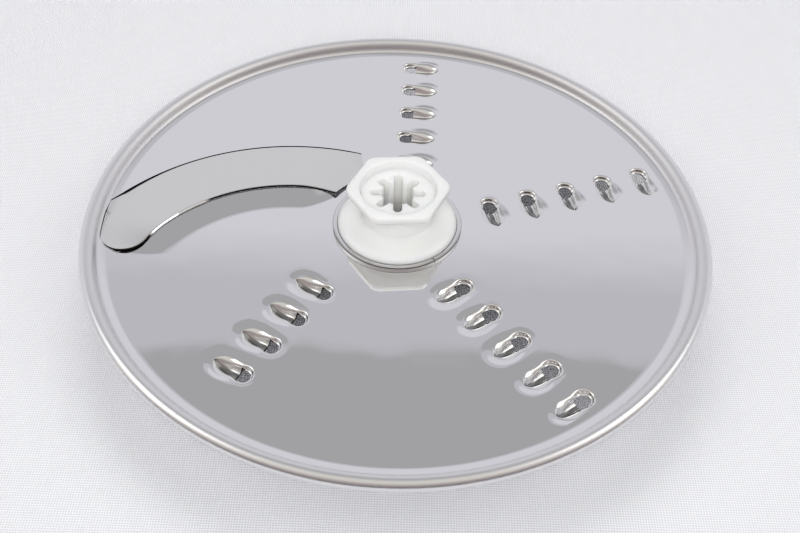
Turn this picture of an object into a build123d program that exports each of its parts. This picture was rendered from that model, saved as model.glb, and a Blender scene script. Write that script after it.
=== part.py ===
from build123d import *
from math import acos, atan2, cos, degrees, radians, sin
import os

os.makedirs("parts", exist_ok=True)

# Steel sheet, plate and rolled rim (mm)
SHEET = 0.8
RIM_RADIUS = 88.0
BEAD_RADIUS = 2.1
BEAD_RISE = 1.4
BEAD_CURL = 290.0
COVE_RADIUS = 4.2
CENTRE_HOLE_CLEARANCE = 0.15

# Slicing blade: a tongue of the plate between two concentric arcs, tilted to a cone
BLADE_CENTRE_SHARE = 0.502
BLADE_CENTRE_BEARING = -132.25
EDGE_RADIUS_SHARE = 0.517
BLADE_WIDTH = 19.7
EDGE_HEIGHT = 2.2
HEEL_DROP = 0.5
BEVEL_LENGTH = 1.7
BLADE_RIM_GAP = 5.3
BLADE_END_RADIUS = 6.9
BLADE_HUB_GAP = 3.05
MOUTH_KERF = 0.4
HEEL_KERF = 0.8
END_KERF = 0.35

# Where the lanced cuts stop, measured along them from the blade's corners
HUB_CUT_LENGTH = 8.0
HUB_TAB_LENGTH = 3.1
HEEL_SETBACK = 2.3
SLIT_OVERRUN = 1.4
HOOK_SETBACK = 2.4
RIM_TAB_LENGTH = 4.4

# Ramp that lifts the plate towards the blade's mouth
RAMP_BEARING = 116.0
RAMP_HALF_ANGLE = 40.0
RAMP_WIDTH = 6.3
RAMP_HEIGHT = 1.3

# Grating scoops, then their rows: bearing of the row, heading from the nose to the round hole, how
# far the row's line passes beside the centre, first middle and pitch as shares of the rim, count
SCOOP_LENGTH = 10.8
SCOOP_WIDTH = 4.2
SCOOP_NOSE = 6.1
SCOOP_WALL = 0.7
SCOOP_LEAD_IN = 0.6
SCOOP_ROWS = (
    (88.0, 176.0, -3.5, 0.306, 0.1356, 5),
    (18.4, 104.4, -2.4, 0.319, 0.1360, 5),
    (-51.4, 37.5, -3.0, 0.335, 0.1311, 5),
    (-122.9, -30.0, -4.4, 0.374, 0.1267, 4),
)

# Moulded hub, the same above and below the plate
FOOT_RADIUS = 16.9
FOOT_EDGE = 1.0
FOOT_HEIGHT = 5.0
NECK_RADIUS = 10.0
NECK_HEIGHT = 9.5
GRIP_BASE = 12.2
HUB_HEIGHT = 14.5
GRIP_APOTHEM = 12.8
GRIP_CORNER = 3.5
GRIP_TURN = 5.0
GRIP_SOFTEN = 0.7
DISH_RADIUS = 10.6
DISH_DEPTH = 2.4
DISH_TAPER = 10.0
SOCKET_RADIUS = 4.6
SOCKET_REACH = 7.6
SOCKET_NOTCH = 2.4
SOCKET_NOTCHES = 8
CLAMP_LEDGE = 2.1
CLAMP_THICKNESS = 1.2

# Split ring round the hub's foot
GROOVE_DEPTH = 0.5
RING_WIDTH = 1.85
RING_THICKNESS = 0.9
RING_SOFTEN = 0.3
RING_SPLIT = 0.4
RING_SPLIT_BEARING = -42.0

ORIGIN = Vector(0, 0)
PLATE_TOP = HUB_HEIGHT + SHEET
PLATE_MIDDLE = PLATE_TOP - SHEET / 2
CENTRE_HOLE_RADIUS = FOOT_RADIUS + CENTRE_HOLE_CLEARANCE
CLAMP_RADIUS = FOOT_RADIUS + CLAMP_LEDGE
RING_INNER_RADIUS = FOOT_RADIUS - GROOVE_DEPTH
RING_OUTER_RADIUS = RING_INNER_RADIUS + RING_WIDTH
EDGE_RADIUS = EDGE_RADIUS_SHARE * RIM_RADIUS
HEEL_RADIUS = EDGE_RADIUS + BLADE_WIDTH
BLADE_SLOPE = (EDGE_HEIGHT + HEEL_DROP) / BLADE_WIDTH
BLADE_RIM_RADIUS = RIM_RADIUS - BLADE_RIM_GAP
BLADE_HUB_RADIUS = RING_OUTER_RADIUS + BLADE_HUB_GAP


def polar(centre, radius, bearing):
    """Point on a circle at a bearing in degrees."""
    turn = radians(bearing)
    return Vector(centre.X + radius * cos(turn), centre.Y + radius * sin(turn))


def arc_angle(length, radius):
    """Angle in degrees of an arc of a given length."""
    return degrees(length / radius)


def bearing_of(centre, point):
    """Bearing in degrees of a point seen from a centre."""
    return degrees(atan2(point.Y - centre.Y, point.X - centre.X))


def crossing(centre_a, radius_a, centre_b, radius_b):
    """Crossing of two circles that lies left of the line from a to b."""
    span = (centre_b - centre_a).length
    cosine = (radius_a**2 + span**2 - radius_b**2) / (2 * radius_a * span)
    return polar(centre_a, radius_a, bearing_of(centre_a, centre_b) + degrees(acos(cosine)))


def arc_between(centre, radius, start, end):
    """Arc about a centre from one bearing to another."""
    middle = polar(centre, radius, (start + end) / 2)
    ThreePointArc(polar(centre, radius, start), middle, polar(centre, radius, end))


def blade_height(point):
    """Height of the blade's upper face above the plate's upper face."""
    return EDGE_HEIGHT - BLADE_SLOPE * ((point - BLADE_CENTRE).length - EDGE_RADIUS)


def upright(start, end):
    """Vertical plane along a line in plan, with the plate's upper face as its base line."""
    run = end - start
    base = Vector(start.X, start.Y, PLATE_TOP)
    return Plane(origin=base, x_dir=(run.X, run.Y, 0), z_dir=(run.Y, -run.X, 0))


def sheet_end(start, end, start_height, end_height):
    """Upright section of the sheet along a line in plan."""
    run = (end - start).length
    with BuildSketch(upright(start, end)) as section:
        with BuildLine():
            Polyline(
                (0, start_height),
                (run, end_height),
                (run, end_height - SHEET),
                (0, start_height - SHEET),
                close=True,
            )
        make_face()
    return section.sketch


# Blade outline: rounded end at the rim, sharp corner at the hub
BLADE_CENTRE = polar(ORIGIN, BLADE_CENTRE_SHARE * RIM_RADIUS, BLADE_CENTRE_BEARING)
end_centre = crossing(
    BLADE_CENTRE, EDGE_RADIUS + BLADE_END_RADIUS, ORIGIN, BLADE_RIM_RADIUS - BLADE_END_RADIUS
)
end_from_blade = bearing_of(BLADE_CENTRE, end_centre)
end_from_hub = bearing_of(ORIGIN, end_centre) % 360
rim_corner = crossing(BLADE_CENTRE, HEEL_RADIUS, ORIGIN, BLADE_RIM_RADIUS)
hub_corner = crossing(BLADE_CENTRE, EDGE_RADIUS, ORIGIN, BLADE_HUB_RADIUS)
rim_corner_bearing = bearing_of(BLADE_CENTRE, rim_corner)
hub_corner_bearing = bearing_of(BLADE_CENTRE, hub_corner)
tip_bearing = bearing_of(ORIGIN, hub_corner) - arc_angle(HUB_CUT_LENGTH, BLADE_HUB_RADIUS)
heel_bearing = hub_corner_bearing + arc_angle(HEEL_SETBACK, HEEL_RADIUS)
tip_joint = polar(ORIGIN, BLADE_HUB_RADIUS, tip_bearing)
heel_joint = polar(BLADE_CENTRE, HEEL_RADIUS, heel_bearing)

with BuildSketch(Plane.XY.offset(PLATE_TOP - 3)) as blade_outline:
    with BuildLine():
        arc_between(ORIGIN, BLADE_RIM_RADIUS, bearing_of(ORIGIN, rim_corner) % 360, end_from_hub)
        arc_between(end_centre, BLADE_END_RADIUS, end_from_hub, end_from_blade + 180)
        arc_between(BLADE_CENTRE, EDGE_RADIUS, end_from_blade, hub_corner_bearing)
        arc_between(ORIGIN, BLADE_HUB_RADIUS, bearing_of(ORIGIN, hub_corner), tip_bearing)
        Line(tip_joint, heel_joint)
        arc_between(BLADE_CENTRE, HEEL_RADIUS, heel_bearing, rim_corner_bearing)
    make_face()

# Opening in the plate: the blade's outline with its kerfs, up to the tabs that hold the blade
mouth_radius = EDGE_RADIUS - MOUTH_KERF
slit_radius = HEEL_RADIUS + HEEL_KERF
rim_side_radius = BLADE_RIM_RADIUS + END_KERF
hub_side_radius = BLADE_HUB_RADIUS - END_KERF
cut_end_radius = BLADE_END_RADIUS + END_KERF
cut_centre = crossing(
    BLADE_CENTRE, mouth_radius + cut_end_radius, ORIGIN, rim_side_radius - cut_end_radius
)
cut_from_blade = bearing_of(BLADE_CENTRE, cut_centre)
cut_from_hub = bearing_of(ORIGIN, cut_centre) % 360
cut_corner = crossing(BLADE_CENTRE, mouth_radius, ORIGIN, hub_side_radius)
root_bearing = tip_bearing - arc_angle(HUB_TAB_LENGTH, hub_side_radius)
slit_bearing = hub_corner_bearing - arc_angle(SLIT_OVERRUN, slit_radius)
hook_bearing = rim_corner_bearing - arc_angle(HOOK_SETBACK, slit_radius)
rim_tab_bearing = bearing_of(ORIGIN, rim_corner) % 360 + arc_angle(RIM_TAB_LENGTH, rim_side_radius)
tip_root = polar(ORIGIN, hub_side_radius, root_bearing)
slit_end = polar(BLADE_CENTRE, slit_radius, slit_bearing)
hook_end = polar(BLADE_CENTRE, slit_radius, hook_bearing)
rim_tab = polar(ORIGIN, rim_side_radius, rim_tab_bearing)

with BuildSketch(Plane.XY.offset(PLATE_TOP - 3)) as opening_outline:
    with BuildLine():
        arc_between(ORIGIN, rim_side_radius, rim_tab_bearing, cut_from_hub)
        arc_between(cut_centre, cut_end_radius, cut_from_hub, cut_from_blade + 180)
        arc_between(
            BLADE_CENTRE, mouth_radius, cut_from_blade, bearing_of(BLADE_CENTRE, cut_corner)
        )
        arc_between(ORIGIN, hub_side_radius, bearing_of(ORIGIN, cut_corner), root_bearing)
        Line(tip_root, slit_end)
        arc_between(BLADE_CENTRE, slit_radius, slit_bearing, hook_bearing)
        Line(hook_end, rim_tab)
    make_face()

# Ramp: a shallow cone whose foot circle meets the mouth at both ends
ramp_chord = mouth_radius * sin(radians(RAMP_HALF_ANGLE))
ramp_sagitta = mouth_radius * (1 - cos(radians(RAMP_HALF_ANGLE))) - RAMP_WIDTH
ramp_radius = (ramp_chord**2 + ramp_sagitta**2) / (2 * ramp_sagitta)
ramp_centre = polar(
    BLADE_CENTRE, ramp_radius - (mouth_radius - RAMP_WIDTH), RAMP_BEARING + 180
)
ramp_reach = 1.3 * RAMP_WIDTH
ramp_top = RAMP_HEIGHT * ramp_reach / RAMP_WIDTH
ramp_start = RAMP_BEARING - RAMP_HALF_ANGLE / 2
ramp_axis = Axis((ramp_centre.X, ramp_centre.Y, 0), (0, 0, 1))

with BuildPart() as ramp:
    with BuildSketch(upright(ramp_centre, polar(ramp_centre, 1, ramp_start))):
        with BuildLine():
            Polyline(
                (ramp_radius - 0.6, 0),
                (ramp_radius, 0),
                (ramp_radius + ramp_reach, ramp_top),
                (ramp_radius + ramp_reach, ramp_top - SHEET),
                (ramp_radius, -SHEET),
                (ramp_radius - 0.6, -SHEET),
                close=True,
            )
        make_face()
    revolve(axis=ramp_axis, revolution_arc=RAMP_HALF_ANGLE)
    with BuildSketch(Plane.XY.offset(PLATE_TOP - 3)):
        with Locations(BLADE_CENTRE):
            Circle(mouth_radius)
    extrude(amount=8, mode=Mode.INTERSECT)

# Blade: conical sheet, ground from below to a sharp upper edge
blade_axis = Axis((BLADE_CENTRE.X, BLADE_CENTRE.Y, 0), (0, 0, 1))
blade_start = heel_bearing - 15
blade_sweep = 115.0
bevel_end = EDGE_RADIUS + BEVEL_LENGTH
bevel_height = EDGE_HEIGHT - BLADE_SLOPE * BEVEL_LENGTH - SHEET

with BuildPart() as blade:
    with BuildSketch(upright(BLADE_CENTRE, polar(BLADE_CENTRE, 1, blade_start))):
        with BuildLine():
            Polyline(
                (EDGE_RADIUS, EDGE_HEIGHT),
                (HEEL_RADIUS, -HEEL_DROP),
                (HEEL_RADIUS, -HEEL_DROP - SHEET),
                (bevel_end, bevel_height),
                close=True,
            )
        make_face()
    revolve(axis=blade_axis, revolution_arc=blade_sweep)
    extrude(blade_outline.sketch, amount=8, mode=Mode.INTERSECT)

# Twisted tab that joins the blade's hub end to the plate
with BuildPart() as hub_tab:
    blade_side = sheet_end(
        tip_joint, heel_joint, blade_height(tip_joint), blade_height(heel_joint)
    )
    plate_side = sheet_end(tip_root, slit_end, 0, 0)
    loft([blade_side.face(), plate_side.face()], ruled=True)

# Scoop tools: nose to the left, round hole to the right, plate's upper face at zero
half_length = SCOOP_LENGTH / 2
half_width = SCOOP_WIDTH / 2
mouth = SCOOP_NOSE - half_length
hole_middle = half_length - half_width
shoulder = (-half_length + 0.47 * SCOOP_NOSE, 0.64 * half_width)

with BuildPart() as scoop_shell:
    with BuildSketch(Plane.XY):
        with BuildLine():
            ThreePointArc(
                (-half_length - SCOOP_WALL, 0),
                (shoulder[0] - 0.4 * SCOOP_WALL, shoulder[1] + 0.9 * SCOOP_WALL),
                (mouth, half_width + SCOOP_WALL),
            )
            Polyline(
                (mouth, half_width + SCOOP_WALL), (mouth, 0), (-half_length - SCOOP_WALL, 0)
            )
        make_face()
    revolve(axis=Axis.X)
    with BuildSketch(Plane.XY.offset(-SHEET / 2)):
        Rectangle(3 * SCOOP_LENGTH, 3 * SCOOP_WIDTH)
    extrude(amount=-2 * SCOOP_WIDTH, mode=Mode.INTERSECT)

with BuildPart() as scoop_cavity:
    with BuildSketch(Plane.XY):
        with BuildLine():
            ThreePointArc((-half_length, 0), shoulder, (mouth, half_width))
            Polyline(
                (mouth, half_width), (hole_middle, half_width), (hole_middle, 0), (-half_length, 0)
            )
        make_face()
    revolve(axis=Axis.X)
    with BuildSketch(Plane.XY.offset(2 * SHEET)):
        with Locations((hole_middle, 0)):
            Circle(half_width)
            Rectangle(
                hole_middle - mouth, SCOOP_WIDTH, align=(Align.MAX, Align.CENTER)
            )
    extrude(amount=-4 * SHEET)
    with BuildSketch(Plane.XY):
        with BuildLine():
            ThreePointArc((-half_length, 0), shoulder, (mouth, half_width))
            Line((mouth, half_width), (hole_middle, half_width))
            ThreePointArc((hole_middle, half_width), (half_length, 0), (hole_middle, -half_width))
            Line((hole_middle, -half_width), (mouth, -half_width))
            ThreePointArc((mouth, -half_width), (shoulder[0], -shoulder[1]), (-half_length, 0))
        make_face()
        offset(amount=SCOOP_LEAD_IN)
    extrude(amount=-SCOOP_LEAD_IN, taper=45)

scoop_places = [
    Plane(
        polar(polar(ORIGIN, side, row + 90), (first + step * pitch) * RIM_RADIUS, row)
        + Vector(0, 0, PLATE_TOP)
    ).location
    * Location((0, 0, 0), (0, 0, heading))
    for row, heading, side, first, pitch, count in SCOOP_ROWS
    for step in range(count)
]

# Disc: plate, cove and curled bead in one sheet, then the blade and the scoops
bead_centre = Vector(RIM_RADIUS - BEAD_RADIUS, PLATE_TOP + BEAD_RISE)
bead_line = BEAD_RADIUS - SHEET / 2
cove_rise = COVE_RADIUS - SHEET / 2 - BEAD_RISE
cove_run = ((COVE_RADIUS + bead_line) ** 2 - cove_rise**2) ** 0.5
cove_centre = Vector(bead_centre.X - cove_run, PLATE_MIDDLE + COVE_RADIUS)
cove_end = bearing_of(cove_centre, bead_centre)
curl_start = cove_end + 180

with BuildPart() as disc:
    with BuildSketch(Plane.XZ):
        with BuildLine():
            Line((CENTRE_HOLE_RADIUS, PLATE_MIDDLE), (cove_centre.X, PLATE_MIDDLE))
            arc_between(cove_centre, COVE_RADIUS, -90, cove_end)
            arc_between(bead_centre, bead_line, curl_start, curl_start - BEAD_CURL)
        trace(line_width=SHEET)
    revolve(axis=Axis.Z)
    extrude(opening_outline.sketch, amount=8, mode=Mode.SUBTRACT)
    with BuildSketch(Plane.XY.offset(PLATE_TOP - 3)):
        with Locations(BLADE_CENTRE):
            Circle(mouth_radius + MOUTH_KERF / 2)
        with Locations(ramp_centre):
            Circle(ramp_radius, mode=Mode.SUBTRACT)
    extrude(amount=8, mode=Mode.SUBTRACT)
    add(ramp.part)
    add(blade.part)
    add(hub_tab.part)
    with Locations(scoop_places):
        add(scoop_shell.part)
    with Locations(scoop_places):
        add(scoop_cavity.part, mode=Mode.SUBTRACT)

disc.part.label = "disc"
export_step(disc.part, "parts/disc.step")

# Hub: bell foot, neck and hexagonal grip rim, mirrored below the plate
with BuildPart() as hub:
    with BuildSketch(Plane.XZ):
        with BuildLine():
            Polyline(
                (0, PLATE_TOP + GRIP_BASE),
                (0, PLATE_MIDDLE),
                (FOOT_RADIUS, PLATE_MIDDLE),
                (FOOT_RADIUS, PLATE_TOP + FOOT_EDGE),
            )
            Spline(
                (FOOT_RADIUS, PLATE_TOP + FOOT_EDGE),
                (FOOT_RADIUS - 1.6, PLATE_TOP + FOOT_EDGE + 1.4),
                (NECK_RADIUS + 2.0, PLATE_TOP + FOOT_HEIGHT - 1.4),
                (NECK_RADIUS, PLATE_TOP + FOOT_HEIGHT),
                tangents=((0, 1), (0, 1)),
            )
            Line((NECK_RADIUS, PLATE_TOP + FOOT_HEIGHT), (NECK_RADIUS, PLATE_TOP + NECK_HEIGHT))
            Spline(
                (NECK_RADIUS, PLATE_TOP + NECK_HEIGHT),
                (GRIP_APOTHEM - 0.5, PLATE_TOP + GRIP_BASE),
                tangents=((0, 1), (1, 0.4)),
            )
            Line((GRIP_APOTHEM - 0.5, PLATE_TOP + GRIP_BASE), (0, PLATE_TOP + GRIP_BASE))
        make_face()
    revolve(axis=Axis.Z)
    with BuildSketch(Plane.XY.offset(PLATE_TOP + GRIP_BASE)):
        RegularPolygon(GRIP_APOTHEM, 6, major_radius=False, rotation=GRIP_TURN)
        fillet(vertices(), GRIP_CORNER)
    extrude(amount=HUB_HEIGHT - GRIP_BASE)
    with BuildSketch(Plane.XY.offset(PLATE_TOP + HUB_HEIGHT)):
        Circle(DISH_RADIUS)
    extrude(amount=-DISH_DEPTH, taper=DISH_TAPER, mode=Mode.SUBTRACT)
    fillet(edges().group_by(Axis.Z)[-1], GRIP_SOFTEN)
    mirror(about=Plane.XY.offset(PLATE_MIDDLE))
    with BuildSketch(Plane.XY.offset(PLATE_TOP - SHEET)):
        Circle(CLAMP_RADIUS)
    extrude(amount=-CLAMP_THICKNESS)
    with BuildSketch(Plane.XY.offset(PLATE_TOP)):
        Circle(CLAMP_RADIUS)
        Circle(RING_INNER_RADIUS, mode=Mode.SUBTRACT)
    extrude(amount=RING_THICKNESS, mode=Mode.SUBTRACT)
    with BuildSketch(Plane.XY):
        Circle(SOCKET_RADIUS)
        with PolarLocations(SOCKET_REACH / 2, SOCKET_NOTCHES):
            SlotOverall(SOCKET_REACH, SOCKET_NOTCH)
    extrude(amount=2 * HUB_HEIGHT + SHEET, mode=Mode.SUBTRACT)

hub.part.label = "hub"
export_step(hub.part, "parts/hub.step")

# Retaining ring: flat spring wire with a narrow split
with BuildPart() as retaining_ring:
    with BuildSketch(Plane.XY.offset(PLATE_TOP)):
        Circle(RING_OUTER_RADIUS)
        Circle(RING_INNER_RADIUS, mode=Mode.SUBTRACT)
        with PolarLocations(RING_OUTER_RADIUS, 1, start_angle=RING_SPLIT_BEARING):
            Rectangle(RING_OUTER_RADIUS, RING_SPLIT, mode=Mode.SUBTRACT)
    extrude(amount=RING_THICKNESS)
    ring_rim = edges().filter_by(GeomType.CIRCLE).group_by(Axis.Z)[-1].sort_by(SortBy.RADIUS)[-1]
    fillet(ring_rim, RING_SOFTEN)

retaining_ring.part.label = "retaining_ring"
export_step(retaining_ring.part, "parts/retaining_ring.step")
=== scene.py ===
import logging
import math
from dataclasses import dataclass, field
from enum import Enum

import bmesh
import bpy
import numpy as np
from mathutils import Matrix, Vector
from mathutils.geometry import delaunay_2d_cdt


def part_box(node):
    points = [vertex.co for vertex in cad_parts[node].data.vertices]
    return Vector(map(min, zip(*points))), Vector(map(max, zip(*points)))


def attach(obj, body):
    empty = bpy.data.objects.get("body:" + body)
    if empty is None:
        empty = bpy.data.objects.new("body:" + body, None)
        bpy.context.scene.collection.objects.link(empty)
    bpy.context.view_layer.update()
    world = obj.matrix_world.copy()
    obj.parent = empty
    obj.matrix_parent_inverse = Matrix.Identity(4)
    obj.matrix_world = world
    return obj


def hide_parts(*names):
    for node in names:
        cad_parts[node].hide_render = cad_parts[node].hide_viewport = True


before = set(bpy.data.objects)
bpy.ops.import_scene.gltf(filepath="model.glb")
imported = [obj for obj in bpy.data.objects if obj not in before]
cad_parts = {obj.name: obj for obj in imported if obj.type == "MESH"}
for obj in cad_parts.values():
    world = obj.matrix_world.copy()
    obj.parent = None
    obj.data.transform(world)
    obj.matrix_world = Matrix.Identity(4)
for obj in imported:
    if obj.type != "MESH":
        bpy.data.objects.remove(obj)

LOG = logging.getLogger("scene")
MM = 0.001
BODY = "root"
FINISH_AND_SHADE = "finish"
TINY = 1e-9
SLACK = 0.01
PLAN_TOLERANCE = 1e-5

# Grid of a scoop: rows ahead of its tip and along its nose, columns beside it, across half of its
# nose and of its valley, steps down into its hole, points along the hole's sides and round its end
FLAT_STATIONS = 6
NOSE_STATIONS = 20
FLAT_COLUMNS = 7
NOSE_COLUMNS = 16
VALLEY_COLUMNS = 3
HOLE_STEPS = 10
HOLE_SIDE = 5
HOLE_END = 21
# Grids of the blade, the ramp, the opening's edges and the ring
BLADE_STATIONS = 181
BLADE_COLUMNS = 18
RAMP_STATIONS = 121
RAMP_COLUMNS = 13
OPENING_STATIONS = 241
RING_COLUMNS = 361

Array = np.ndarray
ORIGIN = np.zeros(2)


class Side(Enum):
    """Which way the faces of a patch look."""

    UP = (0.0, 0.0, 1.0)
    DOWN = (0.0, 0.0, -1.0)
    OUT = (0.0, 0.0, 0.0)


class FinishAndShade(Enum):
    """How a face of the sheet was left, and where it is painted dark as shade, stored with each face
    for the shader.
    """

    MIRROR = 0.0
    PRESSED = 0.3
    SATIN = 0.5
    # painted shade: the floors of the scoops' valleys take mostly the dark shade tone
    SHADED_VALLEY = 0.86
    # painted shade: cut walls, gaps and edge lines take the dark shade tone
    SHADED_EDGE = 1.0


class Slot(Enum):
    """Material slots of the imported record."""

    STEEL = "polished_stainless"
    PLASTIC = "white_plastic"
    SPRING = "spring_steel"


def linear(hex_colour: str) -> tuple[float, float, float, float]:
    """Turn an sRGB hex colour into linear RGBA.

    Args:
        hex_colour: colour such as "#C9C9CE".

    Returns:
        Linear red, green, blue and alpha.
    """
    raw = np.array([int(hex_colour[i : i + 2], 16) for i in (1, 3, 5)]) / 255.0
    value = np.where(raw <= 0.04045, raw / 12.92, ((raw + 0.055) / 1.055) ** 2.4)
    return (float(value[0]), float(value[1]), float(value[2]), 1.0)


def smoothstep(value: Array) -> Array:
    """Ease from 0 to 1 with flat ends.

    Args:
        value: numbers, clipped to the range from 0 to 1.

    Returns:
        Eased numbers.
    """
    t = np.clip(value, 0.0, 1.0)
    return t * t * (3.0 - 2.0 * t)


def plateau(value: Array, ends: tuple[float, float], runs: tuple[float, float]) -> Array:
    """Ease from 0 up to 1 after a first end, and down to 0 again before a last one.

    Args:
        value: numbers such as bearings.
        ends: where the rise begins and where the fall is over.
        runs: lengths of the rise and of the fall.

    Returns:
        Shares from 0 to 1.
    """
    return smoothstep((value - ends[0]) / runs[0]) * smoothstep((ends[1] - value) / runs[1])


def on_circle(centre: Array, radius: Array | float, bearing: Array | float) -> Array:
    """Points at bearings in degrees on a circle.

    Args:
        centre: centre in plan.
        radius: one radius, or one for each bearing.
        bearing: bearings in degrees.

    Returns:
        Points in plan, last axis of length 2.
    """
    turn = np.radians(bearing)
    return np.stack([centre[0] + radius * np.cos(turn), centre[1] + radius * np.sin(turn)], -1)


def bearing_of(centre: Array, point: Array) -> float:
    """Bearing in degrees of a point seen from a centre.

    Args:
        centre: centre in plan.
        point: point in plan.

    Returns:
        Bearing from -180 to 180.
    """
    return math.degrees(math.atan2(point[1] - centre[1], point[0] - centre[0]))


def crossing(centre_a: Array, radius_a: float, centre_b: Array, radius_b: float) -> Array:
    """Crossing of two circles that lies left of the line from a to b.

    Args:
        centre_a: first centre.
        radius_a: first radius.
        centre_b: second centre.
        radius_b: second radius.

    Returns:
        Point in plan.
    """
    span = float(np.hypot(*(centre_b - centre_a)))
    cosine = (radius_a**2 + span**2 - radius_b**2) / (2 * radius_a * span)
    turn = bearing_of(centre_a, centre_b) + math.degrees(math.acos(cosine))
    return on_circle(centre_a, radius_a, turn)


def ray_circle(start: Array, bearing: Array, centre: Array, radius: float, far: bool) -> Array:
    """Distance along rays to a circle.

    Args:
        start: start of all rays.
        bearing: bearings in degrees.
        centre: centre of the circle.
        radius: radius of the circle.
        far: take the far crossing, else the near one.

    Returns:
        Distances; rays that miss get the distance of closest approach.
    """
    ahead = on_circle(np.zeros(2), 1.0, bearing)
    offset = centre - start
    along = ahead @ offset
    square = radius**2 - (offset @ offset - along**2)
    half = np.sqrt(np.maximum(square, 0.0))
    return along + half if far else along - half


def ray_line(start: Array, bearing: Array, a: Array, b: Array) -> Array:
    """Distance along rays to the line through two points.

    Args:
        start: start of all rays.
        bearing: bearings in degrees.
        a: first point of the line.
        b: second point of the line.

    Returns:
        Distances.
    """
    ahead = on_circle(np.zeros(2), 1.0, bearing)
    run = b - a
    normal = np.array([run[1], -run[0]])
    return ((a - start) @ normal) / (ahead @ normal)


def inside(points: Array, loop: Array) -> Array:
    """Even-odd test of points against a closed loop.

    Args:
        points: points in plan.
        loop: corners of the loop in order.

    Returns:
        True where a point lies inside.
    """
    following = np.roll(loop, -1, axis=0)
    px, py = points[:, :1], points[:, 1:]
    spans = (loop[:, 1] > py) != (following[:, 1] > py)
    rise = np.where(following[:, 1] == loop[:, 1], 1.0, following[:, 1] - loop[:, 1])
    reach = loop[:, 0] + (py - loop[:, 1]) * (following[:, 0] - loop[:, 0]) / rise
    return (np.sum(spans & (px < reach), axis=1) % 2).astype(bool)


def lift(plan: Array, height: Array | float) -> Array:
    """Add heights to points in plan.

    Args:
        plan: points in plan.
        height: one height, or one for each point.

    Returns:
        Points in space.
    """
    z = np.broadcast_to(np.asarray(height, float), plan.shape[:-1])
    return np.concatenate([plan, z[..., None]], -1)


@dataclass
class Skin:
    """Patches of a surface, gathered into one mesh."""

    name: str
    points: list[Array] = field(default_factory=list)
    loops: list[Array] = field(default_factory=list)
    totals: list[Array] = field(default_factory=list)
    finishes: list[Array] = field(default_factory=list)
    count: int = 0
    finish: FinishAndShade = FinishAndShade.MIRROR

    def faces(self, points: Array, corners: Array, side: Side = Side.OUT) -> None:
        """Add faces that share a number of corners.

        Args:
            points: points in millimetres.
            corners: indices, one row per face.
            side: which way the faces look; OUT keeps their order.
        """
        if side is not Side.OUT:
            a, b, c = (points[corners[:, i]] for i in range(3))
            normal = np.cross(b - a, c - a)
            if float(np.sum(normal @ np.array(side.value))) < 0.0:
                corners = corners[:, ::-1]
        self.points.append(points)
        self.loops.append((corners + self.count).ravel())
        self.totals.append(np.full(len(corners), corners.shape[1]))
        self.finishes.append(np.full(len(corners), self.finish.value))
        self.count += len(points)

    def grid(
        self, points: Array, side: Side = Side.OUT, around: bool = False, flip: bool = False
    ) -> None:
        """Add a grid of four-sided faces.

        Args:
            points: array of rows, columns and coordinates in millimetres.
            side: which way the faces look; OUT keeps their order.
            around: close the grid from its last column to its first.
            flip: turn the faces over.
        """
        rows, columns = points.shape[:2]
        index = np.arange(rows * columns).reshape(rows, columns)
        if around:
            index = np.concatenate([index, index[:, :1]], axis=1)
        corners = np.stack(
            [index[:-1, :-1], index[:-1, 1:], index[1:, 1:], index[1:, :-1]], -1
        ).reshape(-1, 4)
        if flip:
            corners = corners[:, ::-1]
        self.faces(points.reshape(-1, 3), corners, side)

    def build(self, rise: float, merge: float, sharp: float) -> bpy.types.Object:
        """Make the object.

        Args:
            rise: height of the patches' zero above the frame's, in millimetres.
            merge: distance under which points become one, in millimetres.
            sharp: angle in degrees above which an edge stays sharp.

        Returns:
            New object at the origin, linked to the scene.
        """
        points = (np.concatenate(self.points) + np.array([0.0, 0.0, rise])) * MM
        loops = np.concatenate(self.loops)
        totals = np.concatenate(self.totals)
        starts = np.concatenate([[0], np.cumsum(totals)[:-1]])
        mesh = bpy.data.meshes.new(self.name)
        mesh.vertices.add(len(points))
        mesh.vertices.foreach_set("co", points.astype(np.float32).ravel())
        mesh.loops.add(len(loops))
        mesh.loops.foreach_set("vertex_index", loops.astype(np.int32))
        mesh.polygons.add(len(totals))
        mesh.polygons.foreach_set("loop_start", starts.astype(np.int32))
        finish = mesh.attributes.new(FINISH_AND_SHADE, "FLOAT", "FACE")
        finish.data.foreach_set("value", np.concatenate(self.finishes).astype(np.float32))
        mesh.update(calc_edges=True)
        mesh.validate()
        work = bmesh.new()
        work.from_mesh(mesh)
        bmesh.ops.remove_doubles(work, verts=work.verts, dist=merge * MM)
        bmesh.ops.dissolve_degenerate(work, edges=work.edges, dist=merge * MM * 0.1)
        work.to_mesh(mesh)
        work.free()
        mesh.shade_smooth()
        mesh.set_sharp_from_angle(angle=math.radians(sharp))
        piece = bpy.data.objects.new(self.name, mesh)
        bpy.context.scene.collection.objects.link(piece)
        LOG.info("%s: %d points, %d faces", self.name, len(mesh.vertices), len(mesh.polygons))
        return piece


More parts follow.
